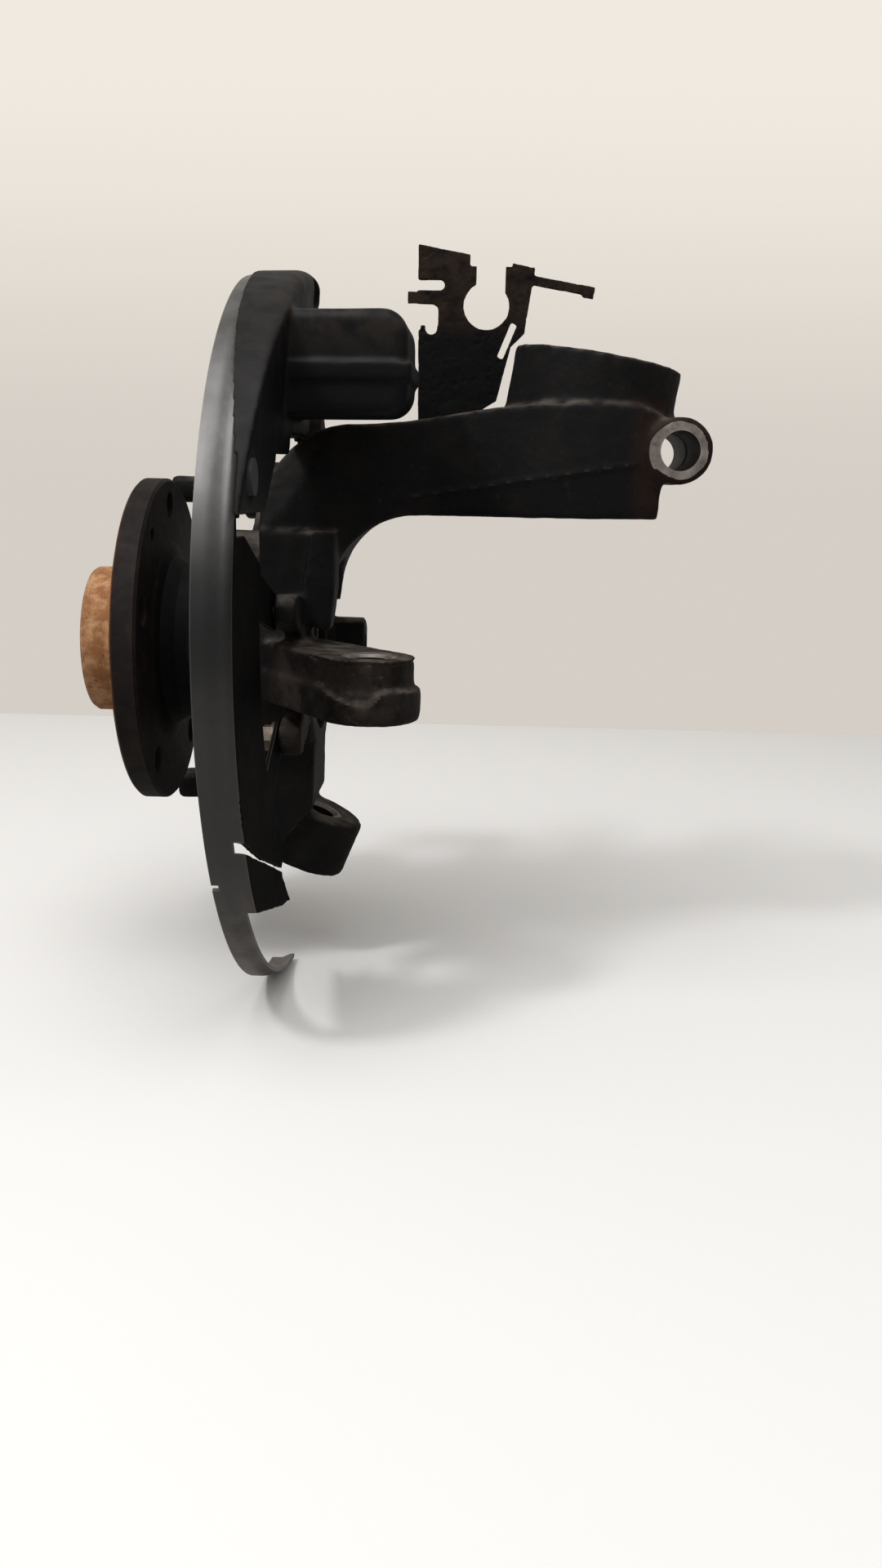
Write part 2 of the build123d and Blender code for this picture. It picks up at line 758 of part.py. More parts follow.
def retaining_ring():
    """Snap ring with two plier lugs, open at the bottom."""
    start = snap_groove_x + (snap_groove_w - snap_t) / 2
    ring = rod(start, start + snap_t, snap_outer_r) - rod(start - 1, start + snap_t + 1, snap_inner_r)
    middle_r = (snap_outer_r + snap_inner_r) / 2
    ring -= Pos(start + snap_t / 2, 0, -middle_r) * Box(2 * snap_t, snap_gap_w, 16)
    lug_y = snap_gap_w / 2 + snap_lug_r - 0.5
    lug_z = -math.sqrt((snap_inner_r + 1.5) ** 2 - lug_y ** 2)
    for side in (-1, 1):
        ring += rod(start, start + snap_t, snap_lug_r, side * lug_y, lug_z)
        ring -= rod(start - 1, start + snap_t + 1, snap_lug_hole_r, side * lug_y, lug_z)
    return ring


# ---------------------------------------------------------------- shield, duct and bracket

def shield_dish(inset, rim_x):
    """Solid dish with a drawn-in skirt and a rounded bend, before its other cuts."""
    rim = shield_r - inset
    waist = shield_waist_r - inset
    face_x = shield_face_x - inset
    bend = shield_bend_r - inset / 2
    turn = bend * math.sqrt(0.5)
    bend_start = (face_x - bend, 0, waist)
    bend_middle = (face_x - bend + turn, 0, waist - bend + turn)
    bend_end = (face_x, 0, waist - bend)
    profile = [
        Line((rim_x, 0, 0), (rim_x, 0, rim)),
        Line((rim_x, 0, rim), (shield_bead_x, 0, rim)),
        Spline((shield_bead_x, 0, rim), bend_start, tangents=[(1, 0, 0), (1, 0, 0)]),
        ThreePointArc(bend_start, bend_middle, bend_end),
        Line(bend_end, (face_x, 0, 0)),
        Line((face_x, 0, 0), (rim_x, 0, 0)),
    ]
    return revolve(make_face(profile), Axis.X, 360)


def front_cut():
    """Everything ahead of the shield: the space that the caliper needs."""
    reach = 3 * shield_r
    low = polar(reach, shield_end)
    high = polar(reach, shield_start)
    outline = Polyline([(0, 0), low, (reach, -reach), (reach, reach), high], close=True)
    return extrude(facing(shield_rim_x - 5) * make_face(outline), 40)


def face_cuts():
    """Openings in the face of the shield, clear of its skirt."""
    centre = Circle(shield_open_r)
    window = sector(window_r, window_start, window_end)
    slot_y = -math.sqrt(slot_outer_r ** 2 - slot_high_z ** 2)
    slot_mid = (slot_low_z + slot_high_z) / 2
    slot_w = -slot_y - shield_open_r / 2
    slot = Pos(slot_y + slot_w / 2, slot_mid) * Rectangle(slot_w, slot_high_z - slot_low_z)
    opened = extrude(facing(shield_face_x - 4) * (centre + window + slot), 10)
    far = shield_r + 10
    split = make_face(Polyline([
        tear_start, tear_bend, tear_end, tear_tip, (tear_bend[0], tear_bend[1] - 1.2),
        (tear_start[0], tear_start[1] - tear_gap),
    ], close=True))
    missing = make_face(Polyline([
        tear_end, (tear_end[0] + 2, tear_end[1] - 5), flap_tip, (flap_tip[0] - 24, flap_tip[1] + 5),
        flap_root, (-far, flap_root[1] + 8), (-far, -far), (far, -far),
        (far, -shield_open_r / 2), (0, -shield_open_r / 2),
    ], close=True))
    opened += extrude(facing(shield_face_x - 4) * split, 10)
    return opened + extrude(facing(strip_x) * missing, 10)


def shield_tab(radius, angle):
    """Tab that reaches in from the face to a screw."""
    start = Pos(*polar(radius, angle)) * Circle(tab_w / 2)
    y, z = polar(shield_open_r + 6, angle)
    end = Pos(y, z) * Circle(tab_w / 2 + 2)
    strip = make_hull(start.edges() + end.edges())
    return extrude(facing(shield_face_x - sheet_t) * strip, sheet_t)


def splash_shield():
    """Pressed sheet shield: dished rim, open centre, torn lower face."""
    sheet = shield_dish(0, shield_rim_x) - shield_dish(sheet_t, shield_rim_x - 1)
    shield = sheet - front_cut() - face_cuts()
    for place in tab_places.values():
        shield += shield_tab(*place)
    for radius, angle in tab_places.values():
        y, z = polar(radius, angle)
        shield -= rod(shield_face_x - 10, shield_face_x + 5, screw_hole_r, y, z)
    for radius, angle in clip_places.values():
        y, z = polar(radius, angle)
        shield -= rod(shield_face_x - 10, shield_face_x + 5, clip_hole_r, y, z)
    y, z = polar(shield_r, nick_angle)
    nick = Location((shield_rim_x, y, z), (nick_angle, 0, 0)) * Box(2 * nick_depth, 12, nick_w)
    return shield - nick


def shield_screw(radius, angle):
    """Flanged hexagon screw, driven inboard through a tab of the shield."""
    y, z = polar(radius, angle)
    seat_x = shield_face_x - sheet_t - face_gap
    shank = rod(seat_x - 0.5, seat_x + screw_len, screw_r - press_gap, y, z)
    washer = rod(seat_x - screw_washer_t, seat_x, screw_washer_r - 0.5, y, z)
    place = Plane(origin=(seat_x - screw_head_h, y, z), x_dir=(0, 1, 0), z_dir=(1, 0, 0))
    head = extrude(place * RegularPolygon(screw_hex / 2, 6, major_radius=False), screw_head_h)
    return shank + washer + head


def duct_footprint(rim_r, wall):
    """Outline of the duct on the shield: a body above a chord, and a tail along the rim."""
    reach = 2 * rim_r
    disc = Circle(rim_r)
    front_y = duct_front_y - wall
    low_z = duct_low_z + wall
    body = disc & (Pos(front_y - rim_r, low_z + rim_r) * Rectangle(reach, reach))
    notch_y = duct_notch_y - wall
    notch_z = duct_notch_z + wall
    body -= Pos(notch_y + rim_r, notch_z - rim_r) * Rectangle(reach, reach)
    tail_z = tail_low_z + wall
    tail = disc & (Pos(-1.5 * rim_r, tail_z + rim_r) * Rectangle(reach, reach))
    return body + (tail - Circle(tail_inner_r + wall))


def duct_crown():
    """Round envelope of the duct, its back rounded over to the rim."""
    turn = duct_crown_r * (1 - math.sqrt(0.5))
    end_x = duct_crown_x + duct_crown_r
    start = (duct_crown_x, 0, duct_r)
    middle = (end_x - turn, 0, duct_r - turn)
    finish = (end_x, 0, duct_r - duct_crown_r)
    beyond_x = end_x + 20
    profile = [
        Line((shield_rim_x, 0, 0), (shield_rim_x, 0, duct_r)),
        Line((shield_rim_x, 0, duct_r), start),
        ThreePointArc(start, middle, finish),
        Line(finish, (beyond_x, 0, duct_r - duct_crown_r - 20)),
        Line((beyond_x, 0, duct_r - duct_crown_r - 20), (beyond_x, 0, 0)),
        Line((beyond_x, 0, 0), (shield_rim_x, 0, 0)),
    ]
    return revolve(make_face(profile), Axis.X, 360)


def duct_wedge(footprint, lift):
    """Footprint raised from the shield to a surface that slopes up to the top."""
    base_x = shield_face_x + face_gap
    block = extrude(facing(base_x) * footprint, 40)
    slope = math.degrees(math.atan(duct_slope))
    crest_x = base_x + duct_thin_t - lift
    tool = Location((crest_x, 0, duct_thin_z), (0, slope, 0)) * Pos(50, 0, 0) * Box(100, 400, 400)
    return block - tool


def duct_lip():
    """Lip that wraps over the skirt of the shield, deepest at the top."""
    inner_r = shield_r + lip_gap
    band = sector(duct_r, lip_start, lip_end) - Circle(inner_r)
    start_x = shield_rim_x - 5
    ring = extrude(facing(start_x) * band, shield_face_x + face_gap + 1 - start_x)
    tool = Location((lip_reach_x, 0, duct_r), (0, -lip_slope, 0)) * Pos(-50, 0, 0) * Box(100, 500, 600)
    return ring - tool


def scoop_solid(inset):
    """Scoop of the duct, rounded at its inboard and rear corners."""
    x1 = scoop_x - inset
    z0 = scoop_low_z + inset
    z1 = scoop_high_z - inset
    y0 = scoop_rear_y + inset
    block = Pos((scoop_foot_x + x1) / 2, (y0 + scoop_front_y) / 2, (z0 + z1) / 2)
    block = block * Box(x1 - scoop_foot_x, scoop_front_y - y0, z1 - z0)
    edges = block.faces().sort_by(Axis.X)[-1].edges().filter_by(Axis.Y)
    block = fillet(edges, scoop_corner_r - inset)
    rear = block.faces().sort_by(Axis.Y)[0].edges()
    rear = [edge for edge in rear if edge.center().X > scoop_foot_x + 1]
    return fillet(rear, scoop_corner_r / 2 - inset)


def air_duct():
    """Moulded duct: open scoop at the front, wedge body and a tail along the rim."""
    shell = (duct_wedge(duct_footprint(duct_r, 0), 0) & duct_crown()) + scoop_solid(0)
    seam_z = (seam_low_z + seam_high_z) / 2
    seam_x = scoop_x + seam_step
    seam_y = scoop_rear_y - seam_step
    seam = Box(seam_x - seam_start_x, scoop_front_y - seam_y, seam_high_z - seam_low_z)
    shell += Pos((seam_x + seam_start_x) / 2, (scoop_front_y + seam_y) / 2, seam_z) * seam
    hollow = duct_wedge(duct_footprint(hollow_r, duct_wall), duct_wall)
    tunnel = scoop_solid(duct_wall)
    mouth_h = scoop_high_z - scoop_low_z - 2 * duct_wall - 6
    mouth = Box(scoop_x - scoop_foot_x - 16, 20, mouth_h)
    mouth = Pos((scoop_x + scoop_foot_x) / 2 + 3, scoop_front_y, seam_z + 3) * mouth
    duct = shell - hollow - tunnel - mouth + duct_lip()
    for radius, angle in clip_places.values():
        y, z = polar(radius, angle)
        pad = rod(shield_face_x + face_gap, shield_face_x + face_gap + duct_thin_t, clip_pad_r, y, z)
        recess = rod(shield_face_x + face_gap + duct_thin_t, shield_face_x + 40, clip_pad_r, y, z)
        duct = duct + pad - recess
        duct -= rod(shield_face_x - 5, shield_face_x + 10, clip_hole_r, y, z)
    return duct


def duct_clip(radius, angle):
    """Push clip: broad head on the duct, shank and splayed tail behind the shield."""
    y, z = polar(radius, angle)
    head_x = shield_face_x + duct_thin_t + 2 * face_gap
    tail_x = shield_face_x - sheet_t - face_gap
    shank = rod(tail_x - 0.5, head_x + 0.5, clip_shank_r, y, z)
    head = rod(head_x, head_x + clip_head_t, clip_head_r, y, z)
    tail = rod(tail_x - clip_tail_t, tail_x, clip_tail_r, y, z)
    return shank + head + tail


def bracket_outline():
    """Outline of the hose bracket, seen from the rear."""
    top_right_z = bracket_top_z - (bracket_right_x - bracket_left_x) * bracket_top_drop
    body = make_face(Polyline([
        (bracket_left_x, bracket_foot_z), (bracket_foot_x - 6, bracket_foot_z),
        (bracket_foot_x, bracket_foot_z + 8), (bracket_foot_x, 105), (bracket_waist_x, 110),
        (bracket_right_x - 6, 134), (bracket_right_x, bracket_neck_z),
        (bracket_right_x + 4, top_right_z), (bracket_left_x - 1.5, bracket_top_z),
    ], close=True))
    finger_len = finger_end_x - bracket_right_x
    middle = Pos(bracket_right_x + finger_len / 2, finger_z)
    finger = middle * Rectangle(finger_len, finger_w, rotation=finger_turn)
    tip_z = finger_z - 2.8
    tip = Pos(finger_end_x - 2.5, tip_z) * Rectangle(5, finger_w + 0.8, rotation=finger_turn)
    return body + finger + tip


def bracket_cuts():
    """Keyhole for the hose, the slots beside it and the bolt hole."""
    keyhole = Pos(hose_x, hose_z) * Circle(hose_r)
    mouth = Pos(hose_mouth_x, hose_z + 16) * Rectangle(hose_mouth_w, 32)
    flare = Pos(hose_mouth_x, bracket_top_z - 3) * Rectangle(hose_mouth_w + 6, 12)
    wire_slot = Pos(bracket_left_x + 2.8, wire_slot_z) * SlotOverall(wire_slot_len, wire_slot_w)
    cable_notch = Pos(bracket_left_x + 1.5, cable_notch_z) * RectangleRounded(13, 11, 3)
    prong_slot = Pos(prong_x, prong_z) * Rectangle(2.6, 16, rotation=prong_turn)
    bolt = Pos(bracket_bolt_x, bracket_bolt_z) * Circle(bracket_bolt_hole_r)
    return keyhole + mouth + flare + wire_slot + cable_notch + prong_slot + bolt


def hose_bracket():
    """Cut sheet bracket that holds the brake hose and two cables."""
    face = bracket_outline() - bracket_cuts()
    return extrude(side_on(bracket_y) * face, -plate_t)


def bracket_bolt():
    """Hexagon bolt of the hose bracket, driven in from the front."""
    seat_y = bracket_y + plate_t + face_gap
    place = Plane(origin=(bracket_bolt_x, seat_y, bracket_bolt_z), x_dir=(1, 0, 0), z_dir=(0, 1, 0))
    washer = extrude(place * Circle(screw_washer_r), screw_washer_t)
    head = extrude(place * RegularPolygon(6.5, 6, major_radius=False), screw_head_h)
    shank = extrude(place * Circle(bracket_bolt_r - press_gap), -bracket_bolt_len)
    return washer + head + shank


def nodes():
    """Every piece by name."""
    pieces = {
        "knuckle": knuckle(),
        "hub_flange": hub_flange(),
        "bearing_outer_ring": bearing_outer_ring(),
        "inner_ring_outboard": inner_ring(-1),
        "inner_ring_inboard": inner_ring(1),
        "balls_outboard": balls(-1),
        "balls_inboard": balls(1),
        "cage_outboard": cage(-1),
        "cage_inboard": cage(1),
        "seal_outboard": seal_outboard(),
        "seal_inboard": seal_inboard(),
        "retaining_ring": retaining_ring(),
        "splash_shield": on_shield(splash_shield()),
        "air_duct": on_shield(air_duct()),
        "hose_bracket": hose_bracket(),
        "bracket_bolt": bracket_bolt(),
    }
    for name, place in tab_places.items():
        pieces["shield_screw_" + name] = on_shield(shield_screw(*place))
    for name, place in clip_places.items():
        pieces["duct_clip_" + name] = on_shield(duct_clip(*place))
    return pieces


os.makedirs("parts", exist_ok=True)
for name, shape in nodes().items():
    export_step(shape, "parts/" + name + ".step")
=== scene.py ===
"""Looks for a van's front steering knuckle: casting, hub, shield, duct and bracket."""

import json
import math

import bmesh
import bpy
import numpy as np
from mathutils import Matrix, Vector, noise


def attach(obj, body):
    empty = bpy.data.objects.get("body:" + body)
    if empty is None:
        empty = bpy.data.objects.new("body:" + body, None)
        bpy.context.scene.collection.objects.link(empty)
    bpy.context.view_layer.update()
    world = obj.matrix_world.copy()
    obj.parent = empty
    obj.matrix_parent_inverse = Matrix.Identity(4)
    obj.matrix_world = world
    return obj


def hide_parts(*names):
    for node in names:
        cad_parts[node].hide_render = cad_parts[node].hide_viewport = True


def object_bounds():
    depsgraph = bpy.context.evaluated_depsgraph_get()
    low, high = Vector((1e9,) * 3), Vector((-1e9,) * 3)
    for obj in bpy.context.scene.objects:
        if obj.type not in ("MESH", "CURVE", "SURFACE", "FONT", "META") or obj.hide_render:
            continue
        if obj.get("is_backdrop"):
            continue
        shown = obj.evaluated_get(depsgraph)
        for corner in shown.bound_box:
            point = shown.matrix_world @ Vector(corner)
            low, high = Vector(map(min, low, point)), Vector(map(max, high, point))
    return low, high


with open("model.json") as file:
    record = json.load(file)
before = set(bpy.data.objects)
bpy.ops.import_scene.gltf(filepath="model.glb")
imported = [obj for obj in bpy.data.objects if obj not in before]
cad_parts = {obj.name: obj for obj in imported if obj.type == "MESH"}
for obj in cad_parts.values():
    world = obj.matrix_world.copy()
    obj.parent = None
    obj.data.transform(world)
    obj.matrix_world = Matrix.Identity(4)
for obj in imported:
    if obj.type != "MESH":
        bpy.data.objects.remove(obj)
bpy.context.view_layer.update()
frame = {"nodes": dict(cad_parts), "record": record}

bl_info = {
    "name": "Steering knuckle finisher",
    "version": (1, 0, 0),
    "blender": (4, 5, 0),
    "location": "View3D > Sidebar > Knuckle",
    "description": "Finishes a cast steering knuckle with its hub, shield, duct and bracket",
    "category": "Object",
}

MM = 0.001

# ---- places on the casting, in millimetres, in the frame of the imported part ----
HUB_AXIS = (1.0, 0.0, 0.0)
REAR_AXIS = (0.0, -1.0, 0.0)
UP_AXIS = (0.0, 0.0, 1.0)
STRUT_AXIS = (math.sin(math.radians(8.5)), 0.0, math.cos(math.radians(8.5)))
JOINT_AXIS = (math.sin(math.radians(22)), 0.0, math.cos(math.radians(22)))

HUB_CENTRE = (0, 0, 0)
STRUT_AT = (193.5, 0, 88)
PINCH_AT = (231.5, 0, 88)
TIE_ROD_AT = (107, -90, 7)
BALL_JOINT_AT = (79, 0, -77)
SENSOR_AT = (0, 46, -6)
UPPER_EAR_AT = (0, 66, 67)
LOWER_EAR_AT = (0, 66, -82)

# each machined bore: point on its axis, axis, stock that fills it before the skin is
# smoothed, and the profile it is cut to; both profiles are (along the axis, radius)
BORES = {
    "bearing_seat": (HUB_CENTRE, HUB_AXIS, [(26, 43.4), (79.5, 43.4)],
                     [(20, 42.52), (30.4, 42.52), (30.4, 44.6), (32.9, 44.6), (32.9, 42.52),
                      (75.05, 42.52), (75.05, 38.9), (119.5, 38.9)]),
    "strut_bore": (STRUT_AT, STRUT_AXIS, [(-22, 28.3), (39, 28.3)], [(-60, 27.5), (50, 27.5)]),
    "pinch_hole": (PINCH_AT, REAR_AXIS, [(-36, 9.2), (36, 9.2)], [(-45, 8.25), (45, 8.25)]),
    "tie_rod_taper": (TIE_ROD_AT, UP_AXIS, [(-25.5, 9.5), (-2, 9.5), (-2, 12.2), (0, 12.2)],
                      [(-31.5, 8.63), (-25.5, 8.63), (-5, 7.6), (4, 7.6)]),
    "ball_joint_taper": (BALL_JOINT_AT, JOINT_AXIS,
                         [(-27, 9), (-2, 9), (-2, 11.7), (0, 11.7)],
                         [(-33, 8.1), (-27, 8.1), (-5, 7), (4, 7)]),
    "sensor_hole": (SENSOR_AT, HUB_AXIS, [(80, 7), (96, 7)], [(80, 6), (101, 6)]),
    "upper_ear_thread": (UPPER_EAR_AT, HUB_AXIS, [(38, 6), (64, 6)], [(38, 5.1), (69, 5.1)]),
    "lower_ear_thread": (LOWER_EAR_AT, HUB_AXIS, [(38, 6), (64, 6)], [(38, 5.1), (69, 5.1)]),
}
# machined rings that are faced into the skin around the holes
FACES = (
    (PINCH_AT, REAR_AXIS, [(35.7, 13.1), (40, 13.1)]),
    (PINCH_AT, REAR_AXIS, [(-40, 13.1), (-35.7, 13.1)]),
    (TIE_ROD_AT, UP_AXIS, [(-1.9, 7.7), (-0.8, 8.8), (-0.8, 11), (4, 11)]),
    (BALL_JOINT_AT, JOINT_AXIS, [(-2.1, 7.1), (-0.8, 8.6), (-0.8, 10.5), (4, 10.5)]),
)
# slit of the strut clamp, between two corners
SPLIT_LOW = (193.5, -3.0, 20.0)
SPLIT_HIGH = (251.0, 3.0, 150.0)

# ridge of the parting line along the arm
PARTING_AT = (119.0, 66.5)
PARTING_SLOPE = 9.4
RIDGE_WIDTH = 0.9
RIDGE_FROM_X = 92
RIDGE_TO_X = 214
FLANK_TURN = 0.7        # faces that look at least this much to the rear or front

# unevenness of the cast skin: size of its lumps, seed, share of the depth
CAST_LUMPS = ((17, 1, 0.5), (6.5, 2, 0.35), (2.8, 3, 0.25))
CAST_SINK = 0.55        # draws the skin in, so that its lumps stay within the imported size

# ledge across the rear of the steering arm (x, z), and where it fades out
LEDGE = np.array([(76.0, -2.0), (87.8, -4.2), (94.5, -7.4), (103.0, -9.8), (107.9, -9.3),
                  (114.8, -3.5), (126.7, -5.0)])
LEDGE_SOFTNESS = 0.7    # half the height over which the step comes up
LEDGE_FROM_Y = -62
LEDGE_FULL_Y = -72
LEDGE_FROM_X = 80
LEDGE_TO_X = 130
LEDGE_FADE_X = 6
LEDGE_LEVEL = 0.75      # faces that look up or down more than this stay as they are
# ribs below and above the ledge: both ends (x, z), width, height
RIBS = (
    ((103.0, -9.0), (105.2, -21.0), 1.5, 1.1),
    ((112.0, -5.5), (106.5, -14.0), 1.4, 0.9),
    ((108.0, 6.0), (108.5, -3.0), 1.3, 0.7),
    ((79.8, 6.9), (80.0, 6.0), 2.2, 1.6),
    ((83.2, 4.7), (84.0, 4.0), 1.8, 1.2),
)

# hose bracket: its plate, tabs as low and high x, low and high z, and nicks as x, z, radius
PLATE_REAR_Y = 31.0
PLATE_FRONT_Y = 34.0
BRACKET_TABS = (
    (114.4, 124.0, 152.0, 157.2),
    (120.4, 122.7, 138.0, 142.8),
    (193.6, 198.9, 156.5, 160.5),
)
BRACKET_NICKS = ((125.3, 141.3, 2.5),)
# size and seed of its rust pits, and of its slight waves
PIT_LUMPS = (2.1, 8)
BOW_LUMPS = (7, 9)

# splash shield, which sits slightly askew
SHIELD_AT = (0.0, 0.0, 2.4)
SHIELD_LEAN = -0.85
SHIELD_YAW = -1.8
SHEET = 1.5
SKIRT_R = 153.6
SKIRT_DRAW = 2.0        # the skirt draws in by this towards its bend
SKIRT_BEAD_X = 59.0
SHIELD_FACE_X = 69.0
BEND_R = 3.5
SKIRT_REACH = 0.42      # points this near the true skirt or bend are moved onto it
BEND_REACH = 0.3
MATT_SHADED_R = 149.2          # inside this the paint is matt, and darker as painted shade
BUCKLE_R = 140          # arcs are measured on this radius
BUCKLE_LUMPS = ((46, 4, 0.7), (19, 5, 0.3))     # size, seed, share
# the sheet is frayed below this height and within this radius
TEAR_BELOW_Z = -50
TEAR_R = 147.5
FRAY_LUMPS = (3.4, 6)   # size and seed

# air duct: size and seed of its sink marks, and how far its skin is drawn in
DUCT_LUMPS = (21, 7)
DUCT_SINK = 0.14

# ---- stage, in metres ----
STAGE_HALF = 3
WALL_Y = 0.62
WALL_HEIGHT = 3
# colours by which the floor and the wall throw light back
FLOOR_LIT = (0.42, 0.41, 0.4)
WALL_LIT = (0.6, 0.58, 0.55)
# each lamp: place, aim, size
CEILING_LAMP = ((-0.05, -0.55, 1.25), (0.08, 0, 0), 1.2)
KEY_LAMP = ((-0.56, -0.7, 1.2), (0.06, -0.05, 0), 0.22)
# camera: where it stands, and how it is turned, in radians
CAMERA_AT = (0.141044, -0.595982, 0.073064)
CAMERA_PITCH = 0.22689
CAMERA_TURN = -0.010216
CAMERA_ROLL = 0.023198
SENSOR_WIDTH = 36
PICTURE_WIDTH = 1080
FOCAL_PIXELS = 1600

# places of the two colours and of the result in a colour mix node
MIX_UNDER, MIX_OVER, MIX_RESULT = 6, 7, 2


# ---------------------------------------------------------------- materials

class Finish:
    """A node material that is built up layer by layer over the surface of a piece."""

    def __init__(self, name, roughness=0.6, metallic=0.0, specular=0.5):
        self.material = bpy.data.materials.new(name)
        self.material.use_nodes = True
        self.tree = self.material.node_tree
        self.shader = self.tree.nodes["Principled BSDF"]
        self.shader.inputs["Metallic"].default_value = metallic
        self.shader.inputs["Specular IOR Level"].default_value = specular
        self.shader.inputs["Roughness"].default_value = roughness
        self.place = self.node("ShaderNodeTexCoord").outputs["Object"]
        self.colour = None
        self.gloss = None
        self.relief = None

    def node(self, kind, **values):
        made = self.tree.nodes.new(kind)
        for key, value in values.items():
            if key in made.inputs:
                made.inputs[key].default_value = value
            else:
                setattr(made, key, value)
        return made

    def link(self, start, end):
        self.tree.links.new(start, end)

    def feed(self, socket, value):
        """Links a socket to another, or sets it to a number or a colour."""
        if isinstance(value, bpy.types.NodeSocket):
            self.link(value, socket)
        elif isinstance(value, float):
            socket.default_value = value
        else:
            socket.default_value = tuple(value) + (1.0,)

    def grain(self, size, detail=4.0, roughness=0.55, stretch=(1, 1, 1), shift=0.0):
        """Cloudy pattern whose blotches are about this many millimetres across."""
        mapping = self.node("ShaderNodeMapping")
        mapping.inputs["Scale"].default_value = stretch
        mapping.inputs["Location"].default_value = (shift, shift * 0.7, -shift)
        self.link(self.place, mapping.inputs["Vector"])
        cloud = self.node("ShaderNodeTexNoise", Scale=1.0 / (size * MM), Detail=detail,
                          Roughness=roughness)
        self.link(mapping.outputs["Vector"], cloud.inputs["Vector"])
        return cloud.outputs["Fac"]

    def limit(self, source, low, high):
        """Maps low..high of a value to 0..1."""
        spread = self.node("ShaderNodeMapRange")
        spread.interpolation_type = "SMOOTHSTEP"
        spread.inputs["From Min"].default_value = low
        spread.inputs["From Max"].default_value = high
        self.link(source, spread.inputs["Value"])
        return spread.outputs["Result"]

    def times(self, first, second):
        product = self.node("ShaderNodeMath", operation="MULTIPLY")
        self.link(first, product.inputs[0])
        self.feed(product.inputs[1], second)
        return product.outputs["Value"]

    def blotches(self, colours, size, low=0.35, high=0.65, **how):
        """First layer: two or three colours that drift into each other."""
        ramp = self.node("ShaderNodeValToRGB")
        steps = ramp.color_ramp.elements
        while len(steps) < len(colours):
            steps.new(0.5)
        for index, colour in enumerate(colours):
            share = index / (len(colours) - 1)
            steps[index].position = low + (high - low) * share
            steps[index].color = tuple(colour) + (1.0,)
        self.link(self.grain(size, **how), ramp.inputs["Fac"])
        self.colour = ramp.outputs["Color"]

    def layer(self, mask, colour):
        """Lays a colour over the layers below where the mask is 1."""
        blend = self.node("ShaderNodeMix", data_type="RGBA")
        self.link(mask, blend.inputs["Factor"])
        self.feed(blend.inputs[MIX_UNDER], self.colour)
        self.feed(blend.inputs[MIX_OVER], colour)
        self.colour = blend.outputs[MIX_RESULT]

    def patches(self, colour, size, band, share=1.0, within=None, **how):
        """Lays a colour in cloudy patches, all over or within a mask."""
        mask = self.limit(self.grain(size, **how), *band)
        if within is not None:
            mask = self.times(within, mask)
        self.layer(self.times(mask, share), colour)

    def worn_edges(self, colour, radius, share):
        """Lays a colour on the outer edges."""
        self.layer(self.times(self.edges(radius), share), colour)

    def edges(self, radius):
        """Mask that is 1 on outer edges, found by comparing rounded and true normals."""
        rounded = self.node("ShaderNodeBevel", Radius=radius * MM)
        rounded.samples = 4
        true = self.node("ShaderNodeNewGeometry")
        dot = self.node("ShaderNodeVectorMath", operation="DOT_PRODUCT")
        self.link(rounded.outputs["Normal"], dot.inputs[0])
        self.link(true.outputs["Normal"], dot.inputs[1])
        return self.limit(dot.outputs["Value"], 0.995, 0.86)

    def upward(self, low, high):
        """Mask that is 1 on faces that look up, where dust settles."""
        normal = self.node("ShaderNodeNewGeometry")
        parts = self.node("ShaderNodeSeparateXYZ")
        self.link(normal.outputs["Normal"], parts.inputs["Vector"])
        return self.limit(parts.outputs["Z"], low, high)

    def along(self, axis, low, high):
        """Mask that runs from 0 to 1 between two places on an axis, in millimetres."""
        parts = self.node("ShaderNodeSeparateXYZ")
        self.link(self.place, parts.inputs["Vector"])
        return self.limit(parts.outputs[axis], low * MM, high * MM)

    def bump(self, size, depth, **how):
        """Adds fine relief: the size and depth of its grain are in millimetres."""
        relief = self.node("ShaderNodeBump", Strength=1.0, Distance=depth * MM)
        self.link(self.grain(size, **how), relief.inputs["Height"])
        if self.relief is not None:
            self.link(self.relief, relief.inputs["Normal"])
        self.relief = relief.outputs["Normal"]

    def shine(self, source, dull, bright):
        """Roughness that runs from dull to bright with a pattern."""
        spread = self.node("ShaderNodeMapRange")
        spread.inputs["To Min"].default_value = dull
        spread.inputs["To Max"].default_value = bright
        self.link(source, spread.inputs["Value"])
        self.gloss = spread.outputs["Result"]

    def done(self):
        self.link(self.colour, self.shader.inputs["Base Color"])
        if self.gloss is not None:
            self.link(self.gloss, self.shader.inputs["Roughness"])
        if self.relief is not None:
            self.link(self.relief, self.shader.inputs["Normal"])
        return self.material


def tone(red, green, blue):
    """Linear colour from the 0..255 values that a render shows."""
    def linear(value):
        share = value / 255
        return share / 12.92 if share <= 0.04045 else ((share + 0.055) / 1.055) ** 2.4
    return linear(red), linear(green), linear(blue)


